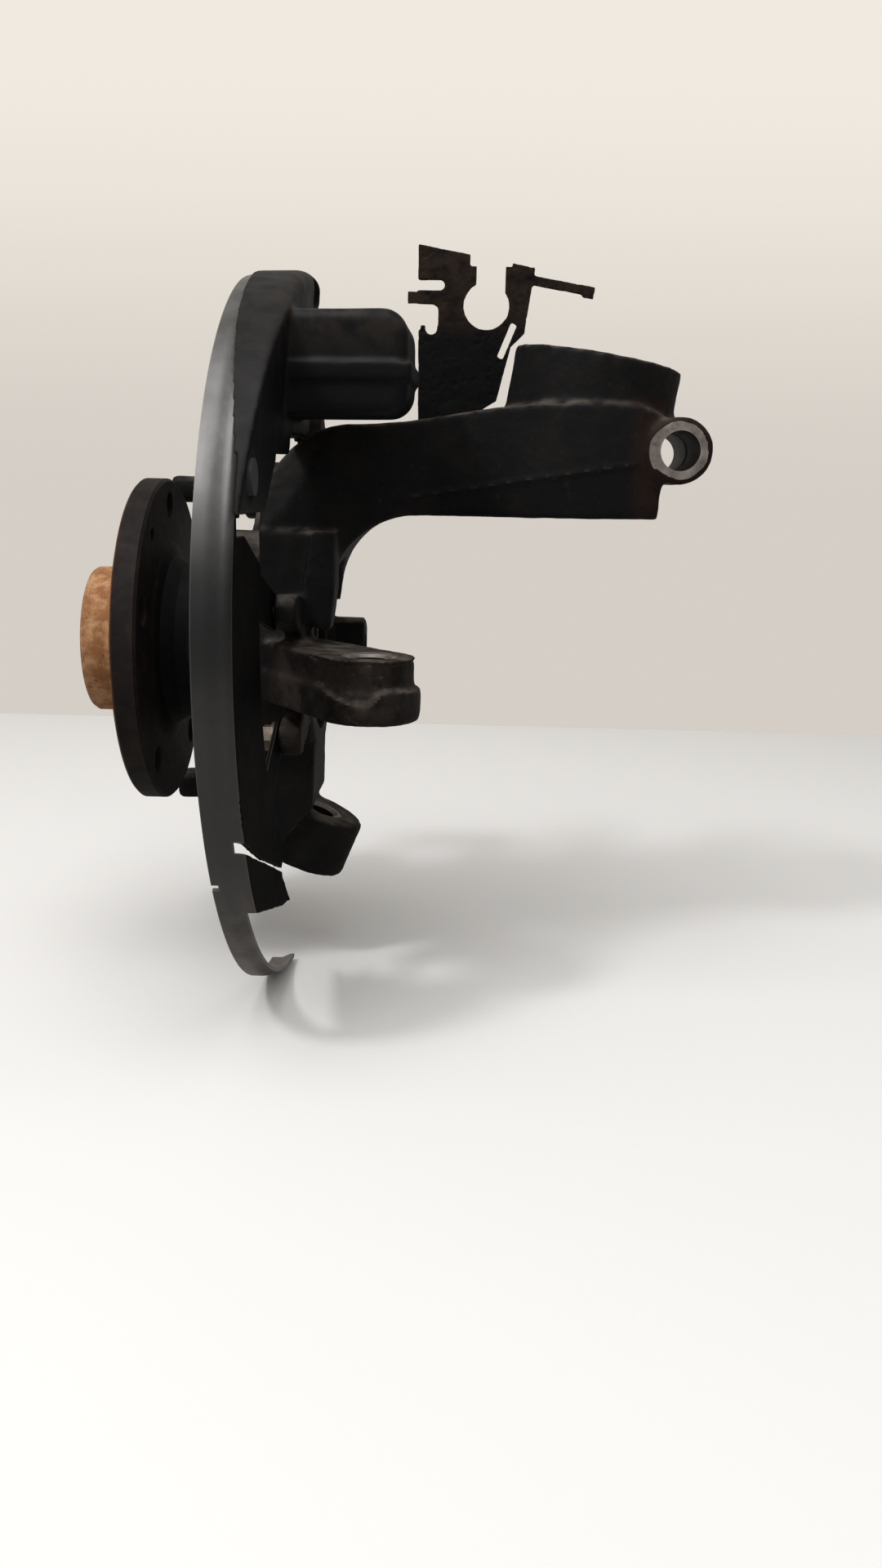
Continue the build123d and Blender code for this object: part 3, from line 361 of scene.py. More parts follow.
def cast_skin():
    """Sand-cast iron, nearly black with oil, browned and dusty where it faces up."""
    skin = Finish("cast_skin", specular=0.16)
    skin.blotches([tone(6, 6, 7), tone(12, 11, 11), tone(21, 19, 17)], 26, detail=7,
                  roughness=0.62)
    skin.patches(tone(46, 41, 36), 2.6, (0.6, 0.76), 0.4, detail=5, shift=0.3)
    skin.patches(tone(32, 22, 17), 38, (0.56, 0.72), 0.5, detail=8, roughness=0.68, shift=1.7)
    arm = skin.times(skin.along("Y", -55, -72), skin.along("Z", 22, 8))
    skin.patches(tone(47, 39, 33), 13, (0.3, 0.62), 0.85, arm, detail=8, roughness=0.65,
                 shift=5.7)
    skin.patches(tone(74, 65, 58), 5, (0.56, 0.7), 0.6, arm, detail=7, roughness=0.7,
                 shift=8.1)
    skin.patches(tone(88, 80, 72), 11, (0.36, 0.66), 0.8, skin.upward(0.2, 0.95), detail=7,
                 shift=2.9)
    boss_root = skin.times(skin.along("X", 208, 217), skin.along("Z", 114, 106))
    skin.patches(tone(38, 20, 13), 9, (0.3, 0.6), 0.8, boss_root, detail=8, roughness=0.7,
                 shift=7.3)
    skin.worn_edges(tone(66, 58, 51), 1.6, 0.35)
    skin.shine(skin.grain(9, detail=6, shift=4.1), 0.86, 0.56)
    skin.bump(1.1, 0.14, detail=3)
    skin.bump(4.5, 0.2, detail=5, shift=0.9)
    return skin.done()


def bored_iron():
    """Walls of the casting's bores: dark and browned, still a little shiny."""
    wall = Finish("bored_iron", metallic=0.3, specular=0.3)
    wall.blotches([tone(14, 12, 11), tone(24, 20, 18), tone(36, 30, 26)], 9, detail=6)
    wall.patches(tone(40, 24, 16), 6, (0.5, 0.66), 0.6, detail=8, roughness=0.7, shift=1.1)
    wall.worn_edges(tone(110, 102, 94), 0.8, 0.5)
    wall.shine(wall.grain(3, detail=4), 0.7, 0.45)
    wall.bump(0.9, 0.05, stretch=(1, 1, 9))
    return wall.done()


def faced_iron():
    """Machined faces around the casting's holes: grey, with tool marks and thin rust."""
    face = Finish("faced_iron", metallic=0.35, specular=0.5)
    face.blotches([tone(96, 88, 82), tone(128, 120, 114), tone(150, 143, 136)], 7, detail=6)
    face.patches(tone(78, 58, 46), 6, (0.52, 0.7), 0.6, detail=8, roughness=0.7, shift=1.1)
    face.worn_edges(tone(176, 168, 160), 0.8, 0.6)
    face.shine(face.grain(3, detail=4), 0.6, 0.38)
    face.bump(0.9, 0.05, stretch=(1, 1, 9))
    return face.done()


def forged_hub():
    """Hub forging: rust-orange pilots, browned flange rim, and a flange back laid near black as
    painted shade.
    """
    hub = Finish("forged_hub", specular=0.2)
    hub.blotches([tone(17, 12, 11), tone(26, 19, 17), tone(37, 27, 23)], 13, detail=8,
                 roughness=0.66)
    pilot = hub.along("X", 1.0, -1.0)
    hub.layer(pilot, tone(142, 94, 58))
    hub.patches(tone(184, 142, 102), 7, (0.4, 0.64), 1.0, pilot, detail=9, roughness=0.72,
                shift=2.2)
    hub.patches(tone(92, 50, 31), 3.6, (0.54, 0.68), 0.8, pilot, detail=9, roughness=0.75,
                shift=5.2)
    foot = hub.times(pilot, hub.along("X", -8.5, -3.5))
    hub.layer(hub.times(foot, 0.75), tone(88, 46, 31))
    # painted shade: the back of the flange, which faces inboard, is laid near black
    back = hub.along("X", 11.2, 12.2)
    hub.layer(hub.times(back, 0.9), tone(5, 5, 6))
    hub.worn_edges(tone(70, 56, 47), 0.9, 0.35)
    hub.shine(hub.grain(5, detail=6, shift=3.3), 0.86, 0.6)
    hub.bump(1.3, 0.14, detail=6)
    return hub.done()


def ground_steel():
    """Ground bearing steel with a thin film of grease."""
    steel = Finish("ground_steel", metallic=0.9)
    steel.blotches([tone(120, 118, 116), tone(160, 160, 162)], 12, detail=4)
    steel.patches(tone(92, 72, 54), 7, (0.56, 0.7), 0.6, detail=7, shift=1.2)
    steel.worn_edges(tone(200, 200, 202), 0.5, 0.5)
    steel.shine(steel.grain(4, stretch=(6, 1, 1)), 0.4, 0.2)
    steel.bump(0.6, 0.012, stretch=(9, 1, 1))
    return steel.done()


def cage_nylon():
    """Moulded nylon of the ball cages, stained by grease."""
    nylon = Finish("cage_nylon", roughness=0.5)
    nylon.blotches([tone(150, 138, 112), tone(196, 186, 160)], 9, detail=5)
    nylon.patches(tone(92, 74, 48), 5, (0.55, 0.72), 0.6, detail=6, shift=0.7)
    nylon.worn_edges(tone(214, 206, 184), 0.5, 0.4)
    nylon.shine(nylon.grain(3), 0.6, 0.36)
    nylon.bump(0.7, 0.02)
    return nylon.done()


def seal_lip():
    """Black nitrile of the bearing seals."""
    lip = Finish("seal_lip", specular=0.4)
    lip.blotches([tone(20, 20, 21), tone(36, 35, 35)], 7, detail=5)
    lip.patches(tone(74, 62, 52), 4, (0.54, 0.7), 0.6, detail=7, shift=1.9)
    lip.worn_edges(tone(66, 64, 62), 0.5, 0.4)
    lip.shine(lip.grain(2), 0.72, 0.5)
    lip.bump(0.5, 0.02)
    return lip.done()


def spring_steel():
    """Blackened spring steel of the snap ring."""
    ring = Finish("spring_steel", metallic=0.6)
    ring.blotches([tone(30, 29, 29), tone(52, 49, 47)], 8, detail=5)
    ring.patches(tone(98, 60, 38), 4, (0.52, 0.68), 0.7, detail=8, roughness=0.7)
    ring.worn_edges(tone(128, 122, 116), 0.5, 0.6)
    ring.shine(ring.grain(3), 0.6, 0.36)
    ring.bump(0.6, 0.03)
    return ring.done()


def shield_paint():
    """Satin black paint of the shield's skirt, hazed on top with dust and a painted sheen, browned
    at the bottom.
    """
    paint = Finish("shield_paint", specular=0.75)
    paint.blotches([tone(9, 9, 10), tone(14, 14, 14), tone(22, 21, 20)], 34, detail=6)
    paint.patches(tone(44, 43, 42), 16, (0.48, 0.78), 0.4, detail=8, roughness=0.66, shift=0.8)
    # dust haze and painted sheen: a light grey laid over the upper part of the skirt
    paint.patches(tone(104, 102, 98), 30, (0.2, 0.7), 0.75, paint.along("Z", 34, 76), detail=6,
                  shift=4.4)
    paint.patches(tone(90, 79, 69), 12, (0.3, 0.62), 0.85, paint.along("Z", -55, -135),
                  detail=8, roughness=0.7, shift=3.7)
    paint.patches(tone(70, 65, 60), 1.6, (0.66, 0.74), 0.35, detail=4, shift=2.1)
    paint.worn_edges(tone(112, 103, 94), 0.9, 0.6)
    paint.shine(paint.grain(13, detail=7, shift=1.3), 0.42, 0.27)
    paint.bump(1.0, 0.016, detail=4)
    return paint.done()


def shield_face_shaded_paint():
    """The same paint on the flat of the shield, gone matt and oily there, with its base laid darker
    than the skirt's as painted shade.
    """
    paint = Finish("shield_face_shaded_paint", specular=0.05)
    # painted shade: the flat's base colours run about half as light as the skirt's
    paint.blotches([tone(4, 4, 5), tone(7, 6, 6), tone(12, 11, 10)], 30, detail=6)
    paint.patches(tone(20, 16, 14), 11, (0.5, 0.74), 0.5, detail=8, roughness=0.68, shift=6.1)
    paint.worn_edges(tone(84, 76, 68), 0.9, 0.5)
    paint.shine(paint.grain(9, detail=6, shift=2.6), 0.9, 0.7)
    paint.bump(1.3, 0.03, detail=5)
    return paint.done()


def duct_plastic():
    """Glass-filled black plastic of the duct, faintly blue, dusted where it faces up, and lighter
    on its rounded back with dust and painted light.
    """
    plastic = Finish("duct_plastic", specular=0.16)
    plastic.blotches([tone(4, 4, 6), tone(8, 8, 10), tone(14, 14, 16)], 30, detail=6)
    plastic.patches(tone(24, 22, 22), 14, (0.48, 0.76), 0.4, detail=8, roughness=0.64,
                    shift=1.4)
    # partly dust and partly painted light: a lighter brown patch on the duct's upper right shoulder
    dust_and_light_shoulder = plastic.times(plastic.along("X", 67, 75), plastic.along("Z", 112, 138))
    for colour, share, within in ((tone(48, 43, 39), 0.35, plastic.upward(0.3, 0.95)),
                                  (tone(50, 43, 38), 0.6, dust_and_light_shoulder)):
        plastic.patches(colour, 8, (0.3, 0.6), share, within, detail=8, shift=3.2)
    plastic.worn_edges(tone(46, 43, 42), 1.1, 0.4)
    plastic.shine(plastic.grain(10, detail=6, shift=0.6), 0.7, 0.46)
    plastic.bump(0.8, 0.03, detail=3)
    return plastic.done()


def bracket_paint():
    """Worn black paint on the hose bracket, browned by rust above its neck."""
    paint = Finish("bracket_paint", specular=0.12)
    paint.blotches([tone(4, 4, 5), tone(8, 7, 7), tone(14, 12, 11)], 12, detail=8,
                   roughness=0.68)
    paint.patches(tone(46, 35, 27), 9, (0.3, 0.6), 0.85, paint.along("Z", 134, 152), detail=9,
                  roughness=0.72, shift=2.4)
    paint.worn_edges(tone(94, 78, 64), 0.7, 0.5)
    paint.shine(paint.grain(6, detail=6, shift=0.2), 0.86, 0.6)
    paint.bump(1.2, 0.07, detail=5)
    return paint.done()


def dull_zinc():
    """Zinc plating that has gone dull and brown on screws and bolts."""
    zinc = Finish("dull_zinc", metallic=0.7)
    zinc.blotches([tone(78, 72, 64), tone(112, 106, 98)], 5, detail=6)
    zinc.patches(tone(104, 66, 42), 3, (0.48, 0.64), 0.7, detail=8, roughness=0.7, shift=1.5)
    zinc.worn_edges(tone(160, 152, 140), 0.5, 0.6)
    zinc.shine(zinc.grain(2), 0.62, 0.38)
    zinc.bump(0.7, 0.04)
    return zinc.done()


def set_finish(obj, material):
    """Gives a piece one finish in every slot."""
    if not obj.data.materials:
        obj.data.materials.append(material)
    for index in range(len(obj.data.materials)):
        obj.data.materials[index] = material


# ---------------------------------------------------------------- shapes

def cad_copy(node, name):
    """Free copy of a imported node's mesh, with its split corners welded."""
    mesh = frame["nodes"][node].data.copy()
    mesh.name = name
    mesh.materials.clear()
    work = bmesh.new()
    work.from_mesh(mesh)
    bmesh.ops.remove_doubles(work, verts=work.verts, dist=0.002 * MM)
    work.to_mesh(mesh)
    work.free()
    if mesh.has_custom_normals:
        mesh.attributes.remove(mesh.attributes["custom_normal"])
    piece = bpy.data.objects.new(name, mesh)
    bpy.context.scene.collection.objects.link(piece)
    return piece


def lathe(work, at, axis, profile, sides=120):
    """Adds a closed solid turned about an axis from (along, radius) points in millimetres."""
    turn = Vector(axis).to_track_quat("Z", "Y").to_matrix()
    rings = []
    for along, radius in profile:
        ring = []
        for index in range(sides):
            angle = 2 * math.pi * index / sides
            point = Vector((radius * math.cos(angle), radius * math.sin(angle), along))
            ring.append(work.verts.new((Vector(at) + turn @ point) * MM))
        rings.append(ring)
    for low, high in zip(rings, rings[1:]):
        for index in range(sides):
            after = (index + 1) % sides
            work.faces.new((low[index], low[after], high[after], high[index]))
    work.faces.new(list(reversed(rings[0])))
    work.faces.new(rings[-1])


def block(work, low, high):
    """Adds a closed block between two corners in millimetres."""
    corners = [work.verts.new((x * MM, y * MM, z * MM))
               for x in (low[0], high[0]) for y in (low[1], high[1]) for z in (low[2], high[2])]
    sides = ((0, 1, 3, 2), (4, 6, 7, 5), (0, 4, 5, 1), (2, 3, 7, 6), (0, 2, 6, 4), (1, 5, 7, 3))
    for side in sides:
        work.faces.new([corners[index] for index in side])


def baked(piece):
    """Replaces a piece's mesh by what its modifiers make of it."""
    graph = bpy.context.evaluated_depsgraph_get()
    made = bpy.data.meshes.new_from_object(piece.evaluated_get(graph))
    piece.modifiers.clear()
    piece.data = made
    return piece


def skinned(piece, voxel, passes):
    """Even skin of small quads over a piece, with its edges worn round."""
    skin = piece.modifiers.new("skin", "REMESH")
    skin.mode = "VOXEL"
    skin.voxel_size = voxel * MM
    skin.use_smooth_shade = True
    soft = piece.modifiers.new("soft", "SMOOTH")
    soft.factor = 0.5
    soft.iterations = passes
    return baked(piece)


def cut(piece, build, finish):
    """Cuts a shape out of a piece; the cut faces take the finish."""
    work = bmesh.new()
    build(work)
    bmesh.ops.recalc_face_normals(work, faces=work.faces)
    mesh = bpy.data.meshes.new("cutter")
    work.to_mesh(mesh)
    work.free()
    mesh.materials.append(finish)
    tool = bpy.data.objects.new("cutter", mesh)
    bpy.context.scene.collection.objects.link(tool)
    remove = piece.modifiers.new("cut", "BOOLEAN")
    remove.operation = "DIFFERENCE"
    remove.object = tool
    remove.solver = "MANIFOLD"
    remove.material_mode = "TRANSFER"
    baked(piece)
    bpy.data.objects.remove(tool)
    bpy.data.meshes.remove(mesh)


def points(piece):
    """Vertex places of a piece as an array, in millimetres."""
    places = np.empty(len(piece.data.vertices) * 3)
    piece.data.vertices.foreach_get("co", places)
    return places.reshape(-1, 3) / MM


def normals(piece):
    """Vertex normals of a piece as an array."""
    ways = np.empty(len(piece.data.vertices) * 3)
    piece.data.vertices.foreach_get("normal", ways)
    return ways.reshape(-1, 3)


def move_points(piece, places):
    """Writes vertex places back, from millimetres."""
    piece.data.vertices.foreach_set("co", (places * MM).ravel())
    piece.data.update()


def lumps(places, size, seed):
    """Smooth noise of -1..1 at each place, with lumps of this many millimetres."""
    shift = Vector((seed * 13.7, seed * -7.3, seed * 4.1))
    return np.array([noise.noise(Vector(place) / size + shift) for place in places])


def layered(places, layers):
    """Several sizes of lumps added up; each layer is a size, a seed and a share."""
    return sum(lumps(places, size, seed) * share for size, seed, share in layers)


def ramp(values, start, end):
    """Runs from 0 to 1 between two values, and stays level outside them."""
    return np.clip((values - start) / (end - start), 0, 1)


def smooth_shaded(piece, angle):
    """Smooth shading, kept crisp at edges sharper than an angle in degrees."""
    piece.data.shade_smooth()
    piece.data.set_sharp_from_angle(angle=math.radians(angle))


# ---------------------------------------------------------------- casting

def ledge_step(places, ways, depth):
    """How far the rear of the steering arm is set back above its wavy ledge."""
    x, y, z = places.T
    line = np.interp(x, LEDGE[:, 0], LEDGE[:, 1])
    upper = ramp(z - line, -LEDGE_SOFTNESS, LEDGE_SOFTNESS)
    rear = ramp(y, LEDGE_FROM_Y, LEDGE_FULL_Y) * ramp(x, LEDGE_FROM_X, LEDGE_FROM_X + LEDGE_FADE_X)
    rear = rear * ramp(x, LEDGE_TO_X, LEDGE_TO_X - LEDGE_FADE_X)
    rear = rear * (np.abs(ways[:, 2]) < LEDGE_LEVEL)
    step = -upper * rear * depth
    for (x1, z1), (x2, z2), width, height in RIBS:
        run_x, run_z = x2 - x1, z2 - z1
        length = run_x ** 2 + run_z ** 2
        share = np.clip(((x - x1) * run_x + (z - z1) * run_z) / length, 0, 1)
        away = np.hypot(x - x1 - share * run_x, z - z1 - share * run_z)
        step = step + np.exp(-(away / width) ** 2) * rear * height
    return step


def casting(settings, skin, bore, face):
    """The knuckle as cast, with an uneven skin and a parting ridge; then bored and faced."""
    piece = cad_copy("knuckle", "knuckle_casting")
    work = bmesh.new()
    work.from_mesh(piece.data)
    for at, axis, stock, _ in BORES.values():
        lathe(work, at, axis, stock)
    work.to_mesh(piece.data)
    work.free()
    skinned(piece, settings.skin_size, settings.wear)
    places = points(piece)
    ways = normals(piece)
    tilt = math.tan(math.radians(PARTING_SLOPE))
    above = places[:, 2] - PARTING_AT[1] - (places[:, 0] - PARTING_AT[0]) * tilt
    flank = (np.abs(ways[:, 1]) > FLANK_TURN)
    flank = flank & (places[:, 0] > RIDGE_FROM_X) & (places[:, 0] < RIDGE_TO_X)
    ridge = np.exp(-(above / RIDGE_WIDTH) ** 2) * flank * settings.ridge
    uneven = (layered(places, CAST_LUMPS) - CAST_SINK) * settings.unevenness
    out = ridge + uneven + ledge_step(places, ways, settings.ledge)
    move_points(piece, places + ways * out[:, None])
    piece.data.materials.clear()
    piece.data.materials.append(skin)
    for at, axis, _, profile in BORES.values():
        cut(piece, lambda work: lathe(work, at, axis, profile), bore)
    cut(piece, lambda work: block(work, SPLIT_LOW, SPLIT_HIGH), bore)
    for at, axis, profile in FACES:
        cut(piece, lambda work: lathe(work, at, axis, profile), face)
    smooth_shaded(piece, 40)
    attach(piece, "knuckle")
    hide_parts("knuckle")
    return piece


# ---------------------------------------------------------------- sheet metal and plastic

def shield_frame():
    """Turn and place of the shield's own frame, in millimetres."""
    turn = (Matrix.Rotation(math.radians(SHIELD_LEAN), 3, "Y")
            @ Matrix.Rotation(math.radians(SHIELD_YAW), 3, "Z"))
    return np.array(turn), np.array(SHIELD_AT)


def divide(piece, longest):
    """Splits edges until none is longer than a length in millimetres."""
    work = bmesh.new()
    work.from_mesh(piece.data)
    for _ in range(5):
        edges = [edge for edge in work.edges if edge.calc_length() > longest * MM]
        if not edges:
            break
        bmesh.ops.subdivide_edges(work, edges=edges, cuts=1, use_grid_fill=False)
        bmesh.ops.triangulate(work, faces=[face for face in work.faces if len(face.verts) > 3])
    work.to_mesh(piece.data)
    work.free()


def true_skirt(along, radius):
    """Moves points of the shield's skirt and bend out to the true turned shape."""
    for inset in (0.0, SHEET):
        bend = BEND_R - inset / 2
        start = SHIELD_FACE_X - inset - bend
        share = ramp(along, SKIRT_BEAD_X, start)
        wanted = SKIRT_R - inset - SKIRT_DRAW * share * share * (3 - 2 * share)
        near = (along <= start) & (np.abs(radius - wanted) < SKIRT_REACH)
        radius = np.where(near, wanted, radius)
        centre = SKIRT_R - SKIRT_DRAW - inset - bend
        away = np.hypot(along - start, radius - centre)
        near = (along > start) & (radius > centre + 0.05) & (np.abs(away - bend) < BEND_REACH)
        scale = np.where(near, bend / np.maximum(away, 0.01), 1.0)
        along = np.where(near, start + (along - start) * scale, along)
        radius = np.where(near, centre + (radius - centre) * scale, radius)
    return along, radius


def shield_sheet(settings, paint, matt_shaded_paint):
    """The pressed shield: round skirt, slightly buckled face, frayed at the tear."""
    piece = cad_copy("splash_shield", "shield_sheet")
    divide(piece, settings.sheet_size)
    turn, at = shield_frame()
    local = (points(piece) - at) @ turn
    radius = np.hypot(local[:, 1], local[:, 2])
    angle = np.arctan2(local[:, 2], local[:, 1])
    along, radius = true_skirt(local[:, 0], radius)
    across = np.stack([angle * BUCKLE_R, radius, angle * 0], axis=1)
    skirt = ramp(radius, 146, 151)
    press = layered(across, BUCKLE_LUMPS) * settings.buckle
    radius = radius - skirt * (0.25 + press * 0.35)
    low = ramp(local[:, 2], -70, -130)
    along = along - (1 - skirt) * np.abs(press) * (0.4 + low)
    seen = np.stack([along, radius * np.cos(angle), radius * np.sin(angle)], axis=1)
    torn = (local[:, 2] < TEAR_BELOW_Z) & (radius < TEAR_R)
    frayed = lumps(seen, *FRAY_LUMPS) * 0.8 * torn * ramp(radius, TEAR_R, TEAR_R - 3)
    seen[:, 2] += frayed * 0.6
    move_points(piece, seen @ turn.T + at)
    piece.data.materials.clear()
    piece.data.materials.append(paint)
    piece.data.materials.append(matt_shaded_paint)
    # faces inside this radius take the matt paint, which is darkened as painted shade
    for face in piece.data.polygons:
        centre = (np.array(face.center) / MM - at) @ turn
        face.material_index = int(math.hypot(centre[1], centre[2]) < MATT_SHADED_R)
    smooth_shaded(piece, 32)
    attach(piece, "knuckle")
    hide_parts("splash_shield")
    return piece


def moulded_duct(settings, plastic):
    """The duct with the soft edges and faint sink marks of a moulding."""
    piece = cad_copy("air_duct", "duct_shell")
    skinned(piece, settings.plastic_size, 14)
    places = points(piece)
    sink = lumps(places, *DUCT_LUMPS) * 0.22 - DUCT_SINK
    move_points(piece, places + normals(piece) * sink[:, None])
    set_finish(piece, plastic)
    smooth_shaded(piece, 60)
    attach(piece, "knuckle")
    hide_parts("air_duct")
    return piece


def rusted_bracket(settings, paint):
    """The flat bracket with pitted, rounded edges and a slightly bowed plate."""
    piece = cad_copy("hose_bracket", "bracket_plate")
    work = bmesh.new()
    work.from_mesh(piece.data)
    for low_x, high_x, low_z, high_z in BRACKET_TABS:
        block(work, (low_x, PLATE_REAR_Y, low_z), (high_x, PLATE_FRONT_Y, high_z))
    work.to_mesh(piece.data)
    work.free()
    for at_x, at_z, radius in BRACKET_NICKS:
        at = (at_x, (PLATE_REAR_Y + PLATE_FRONT_Y) / 2, at_z)
        profile = [(-4, radius), (4, radius)]
        cut(piece, lambda work: lathe(work, at, REAR_AXIS, profile, 32), paint)
    skinned(piece, settings.plate_size, 3)
    places = points(piece)
    pits = np.minimum(lumps(places, *PIT_LUMPS) + 0.1, 0) * 0.35
    sink = pits + lumps(places, *BOW_LUMPS) * 0.16 - 0.1
    move_points(piece, places + normals(piece) * sink[:, None])
    set_finish(piece, paint)
    smooth_shaded(piece, 60)
    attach(piece, "knuckle")
    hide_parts("hose_bracket")
    return piece


# ---------------------------------------------------------------- stage

def wall_surface(low, high, lit):
    """Plaster of the wall; the camera sees an even colour of its own, greyed by painted shade
    towards the floor.
    """
    plaster = Finish("wall_plaster", roughness=0.85, specular=0.1)
    plaster.blotches([lit, tuple(value * 0.985 for value in lit)], 240)
    plaster.done()
    even = plaster.node("ShaderNodeEmission")
    # painted shade: the colour the camera sees runs from the darker foot tone up to the wall tone
    plaster.colour = low
    plaster.layer(plaster.along("Z", 60, 430), high)
    plaster.link(plaster.colour, even.inputs["Color"])
    path = plaster.node("ShaderNodeLightPath")
    share = plaster.node("ShaderNodeMixShader")
    plaster.link(path.outputs["Is Camera Ray"], share.inputs[0])
    plaster.link(plaster.shader.outputs[0], share.inputs[1])
    plaster.link(even.outputs[0], share.inputs[2])
    plaster.link(share.outputs[0], plaster.tree.nodes["Material Output"].inputs["Surface"])
    return plaster.material


def floor_surface(seen, lit):
    """Plaster of the floor; it throws back less light than the camera sees on it."""
    plaster = Finish("floor_plaster", roughness=0.85, specular=0.1)
    plaster.blotches([lit, tuple(value * 0.985 for value in lit)], 240)
    path = plaster.node("ShaderNodeLightPath")
    plaster.layer(path.outputs["Is Camera Ray"], seen)
    return plaster.done()


def flat_sheet(name, corners, material):
    """One flat face of the stage."""
    mesh = bpy.data.meshes.new(name)
    mesh.from_pydata(corners, [], [(0, 1, 2, 3)])
    obj = bpy.data.objects.new(name, mesh)
    bpy.context.scene.collection.objects.link(obj)
    set_finish(obj, material)
    obj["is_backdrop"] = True


def make_room(settings):
    """Even light of the room: dim at the horizon, brighter overhead."""
    world = bpy.data.worlds.new("soft_room")
    bpy.context.scene.world = world
    world.use_nodes = True
    tree = world.node_tree
    place = tree.nodes.new("ShaderNodeTexCoord")
    parts = tree.nodes.new("ShaderNodeSeparateXYZ")
    ramp = tree.nodes.new("ShaderNodeMapRange")
    ramp.inputs["From Min"].default_value = 0.1
    ramp.inputs["From Max"].default_value = 0.8
    ramp.inputs["To Min"].default_value = settings.horizon_light
    ramp.inputs["To Max"].default_value = settings.overhead_light
    tree.links.new(place.outputs["Generated"], parts.inputs[0])
    tree.links.new(parts.outputs["Z"], ramp.inputs["Value"])
    tree.links.new(ramp.outputs["Result"], tree.nodes["Background"].inputs["Strength"])
    tree.nodes["Background"].inputs["Color"].default_value = (1, 0.985, 0.96, 1)


def make_lamp(name, place, aim, size, watts):
    """Round soft lamp."""
    light = bpy.data.lights.new(name, "AREA")
    light.shape = "DISK"
    light.size = size
    light.energy = watts
    lamp = bpy.data.objects.new(name, light)
    lamp.location = place
    lamp.rotation_euler = (Vector(aim) - Vector(place)).to_track_quat("-Z", "Y").to_euler()
    bpy.context.scene.collection.objects.link(lamp)


def make_stage(settings):
    """Pale floor, pale wall and soft lamps."""
    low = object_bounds()[0][2]
    top = low + WALL_HEIGHT
    near = [(-STAGE_HALF, -STAGE_HALF, low), (STAGE_HALF, -STAGE_HALF, low)]
    foot = [(STAGE_HALF, WALL_Y, low), (-STAGE_HALF, WALL_Y, low)]
    flat_sheet("floor", near + foot, floor_surface(settings.floor_colour, FLOOR_LIT))
    head = [(STAGE_HALF, WALL_Y, top), (-STAGE_HALF, WALL_Y, top)]
    wall = wall_surface(tone(*settings.wall_foot_shade_tone), tone(*settings.wall_tone), WALL_LIT)
    flat_sheet("wall", foot[::-1] + head, wall)
    make_room(settings)
    make_lamp("ceiling_lamp", *CEILING_LAMP, settings.lamp_watts)
    make_lamp("key_lamp", *KEY_LAMP, settings.key_watts)
    bpy.context.scene.view_settings.view_transform = "Standard"


def make_camera():
    """Camera at the rear of the knuckle, looking forward and a little down."""
    forward = Vector((math.sin(CAMERA_TURN) * math.cos(CAMERA_PITCH),
                      math.cos(CAMERA_TURN) * math.cos(CAMERA_PITCH), -math.sin(CAMERA_PITCH)))
    level = forward.cross(Vector((0, 0, 1))).normalized()
    upright = level.cross(forward)
    right = math.cos(CAMERA_ROLL) * level + math.sin(CAMERA_ROLL) * upright
    up = math.cos(CAMERA_ROLL) * upright - math.sin(CAMERA_ROLL) * level
    data = bpy.data.cameras.new("view")
    data.sensor_fit = "HORIZONTAL"
    data.sensor_width = SENSOR_WIDTH
    data.lens = SENSOR_WIDTH * FOCAL_PIXELS / PICTURE_WIDTH
    data.clip_start = 0.01
    camera = bpy.data.objects.new("view", data)
    turned = Matrix((right, up, -forward)).transposed().to_4x4()
    turned.translation = Vector(CAMERA_AT)
    camera.matrix_world = turned
    bpy.context.scene.collection.objects.link(camera)
    bpy.context.scene.camera = camera


class StageSettings(bpy.types.PropertyGroup):
    floor_colour: bpy.props.FloatVectorProperty(
        name="Floor", description="Colour of the floor", subtype="COLOR",
        default=(0.82, 0.81, 0.795), min=0, max=1)
    wall_tone: bpy.props.IntVectorProperty(
        name="Wall", description="Tone of the wall as seen high up, 0 to 255",
        default=(240, 234, 224), min=0, max=255)
    # painted shade: the tone the wall is laid in near the floor
    wall_foot_shade_tone: bpy.props.IntVectorProperty(
        name="Wall foot", description="Tone of the wall as seen near the floor, 0 to 255",
        default=(213, 206, 198), min=0, max=255)
    horizon_light: bpy.props.FloatProperty(
        name="Horizon light", description="Strength of the even light at the horizon",
        default=0.08, min=0)
    overhead_light: bpy.props.FloatProperty(
        name="Overhead light", description="Strength of the even light overhead", default=0.8,
        min=0)
    lamp_watts: bpy.props.FloatProperty(
        name="Ceiling lamp", description="Power of the ceiling lamp", default=11, min=0,
        unit="POWER")
    key_watts: bpy.props.FloatProperty(
        name="Key lamp", description="Power of the lamp that draws the shadow", default=7,
        min=0, unit="POWER")


class KNUCKLE_OT_stage(bpy.types.Operator):
    """Set up the floor, wall, lamps and camera"""
    bl_idname = "knuckle.stage"
    bl_label = "Stage"

    def execute(self, context):
        make_stage(context.scene.knuckle_stage)
        make_camera()
        return {"FINISHED"}


class CastingSettings(bpy.types.PropertyGroup):
    skin_size: bpy.props.FloatProperty(
        name="Skin size", description="Size of the small faces of the skin, in millimetres",
        default=1.3, min=0.8)
    wear: bpy.props.IntProperty(
        name="Wear", description="How far edges are rounded", default=8, min=0)
    unevenness: bpy.props.FloatProperty(
        name="Unevenness", description="Depth of the cast surface's unevenness, in millimetres",
        default=0.38, min=0)
    ridge: bpy.props.FloatProperty(
        name="Ridge", description="Height of the ridge at the parting line, in millimetres",
        default=0.6, min=0)
    ledge: bpy.props.FloatProperty(
        name="Ledge", description="Depth of the steering arm's ledge, in millimetres",
        default=1.8, min=0)


class KNUCKLE_OT_casting(bpy.types.Operator):
    """Give the knuckle its cast skin and its machined bores"""
    bl_idname = "knuckle.casting"
    bl_label = "Casting"

    def execute(self, context):
        casting(context.scene.knuckle_casting, cast_skin(), bored_iron(), faced_iron())
        return {"FINISHED"}


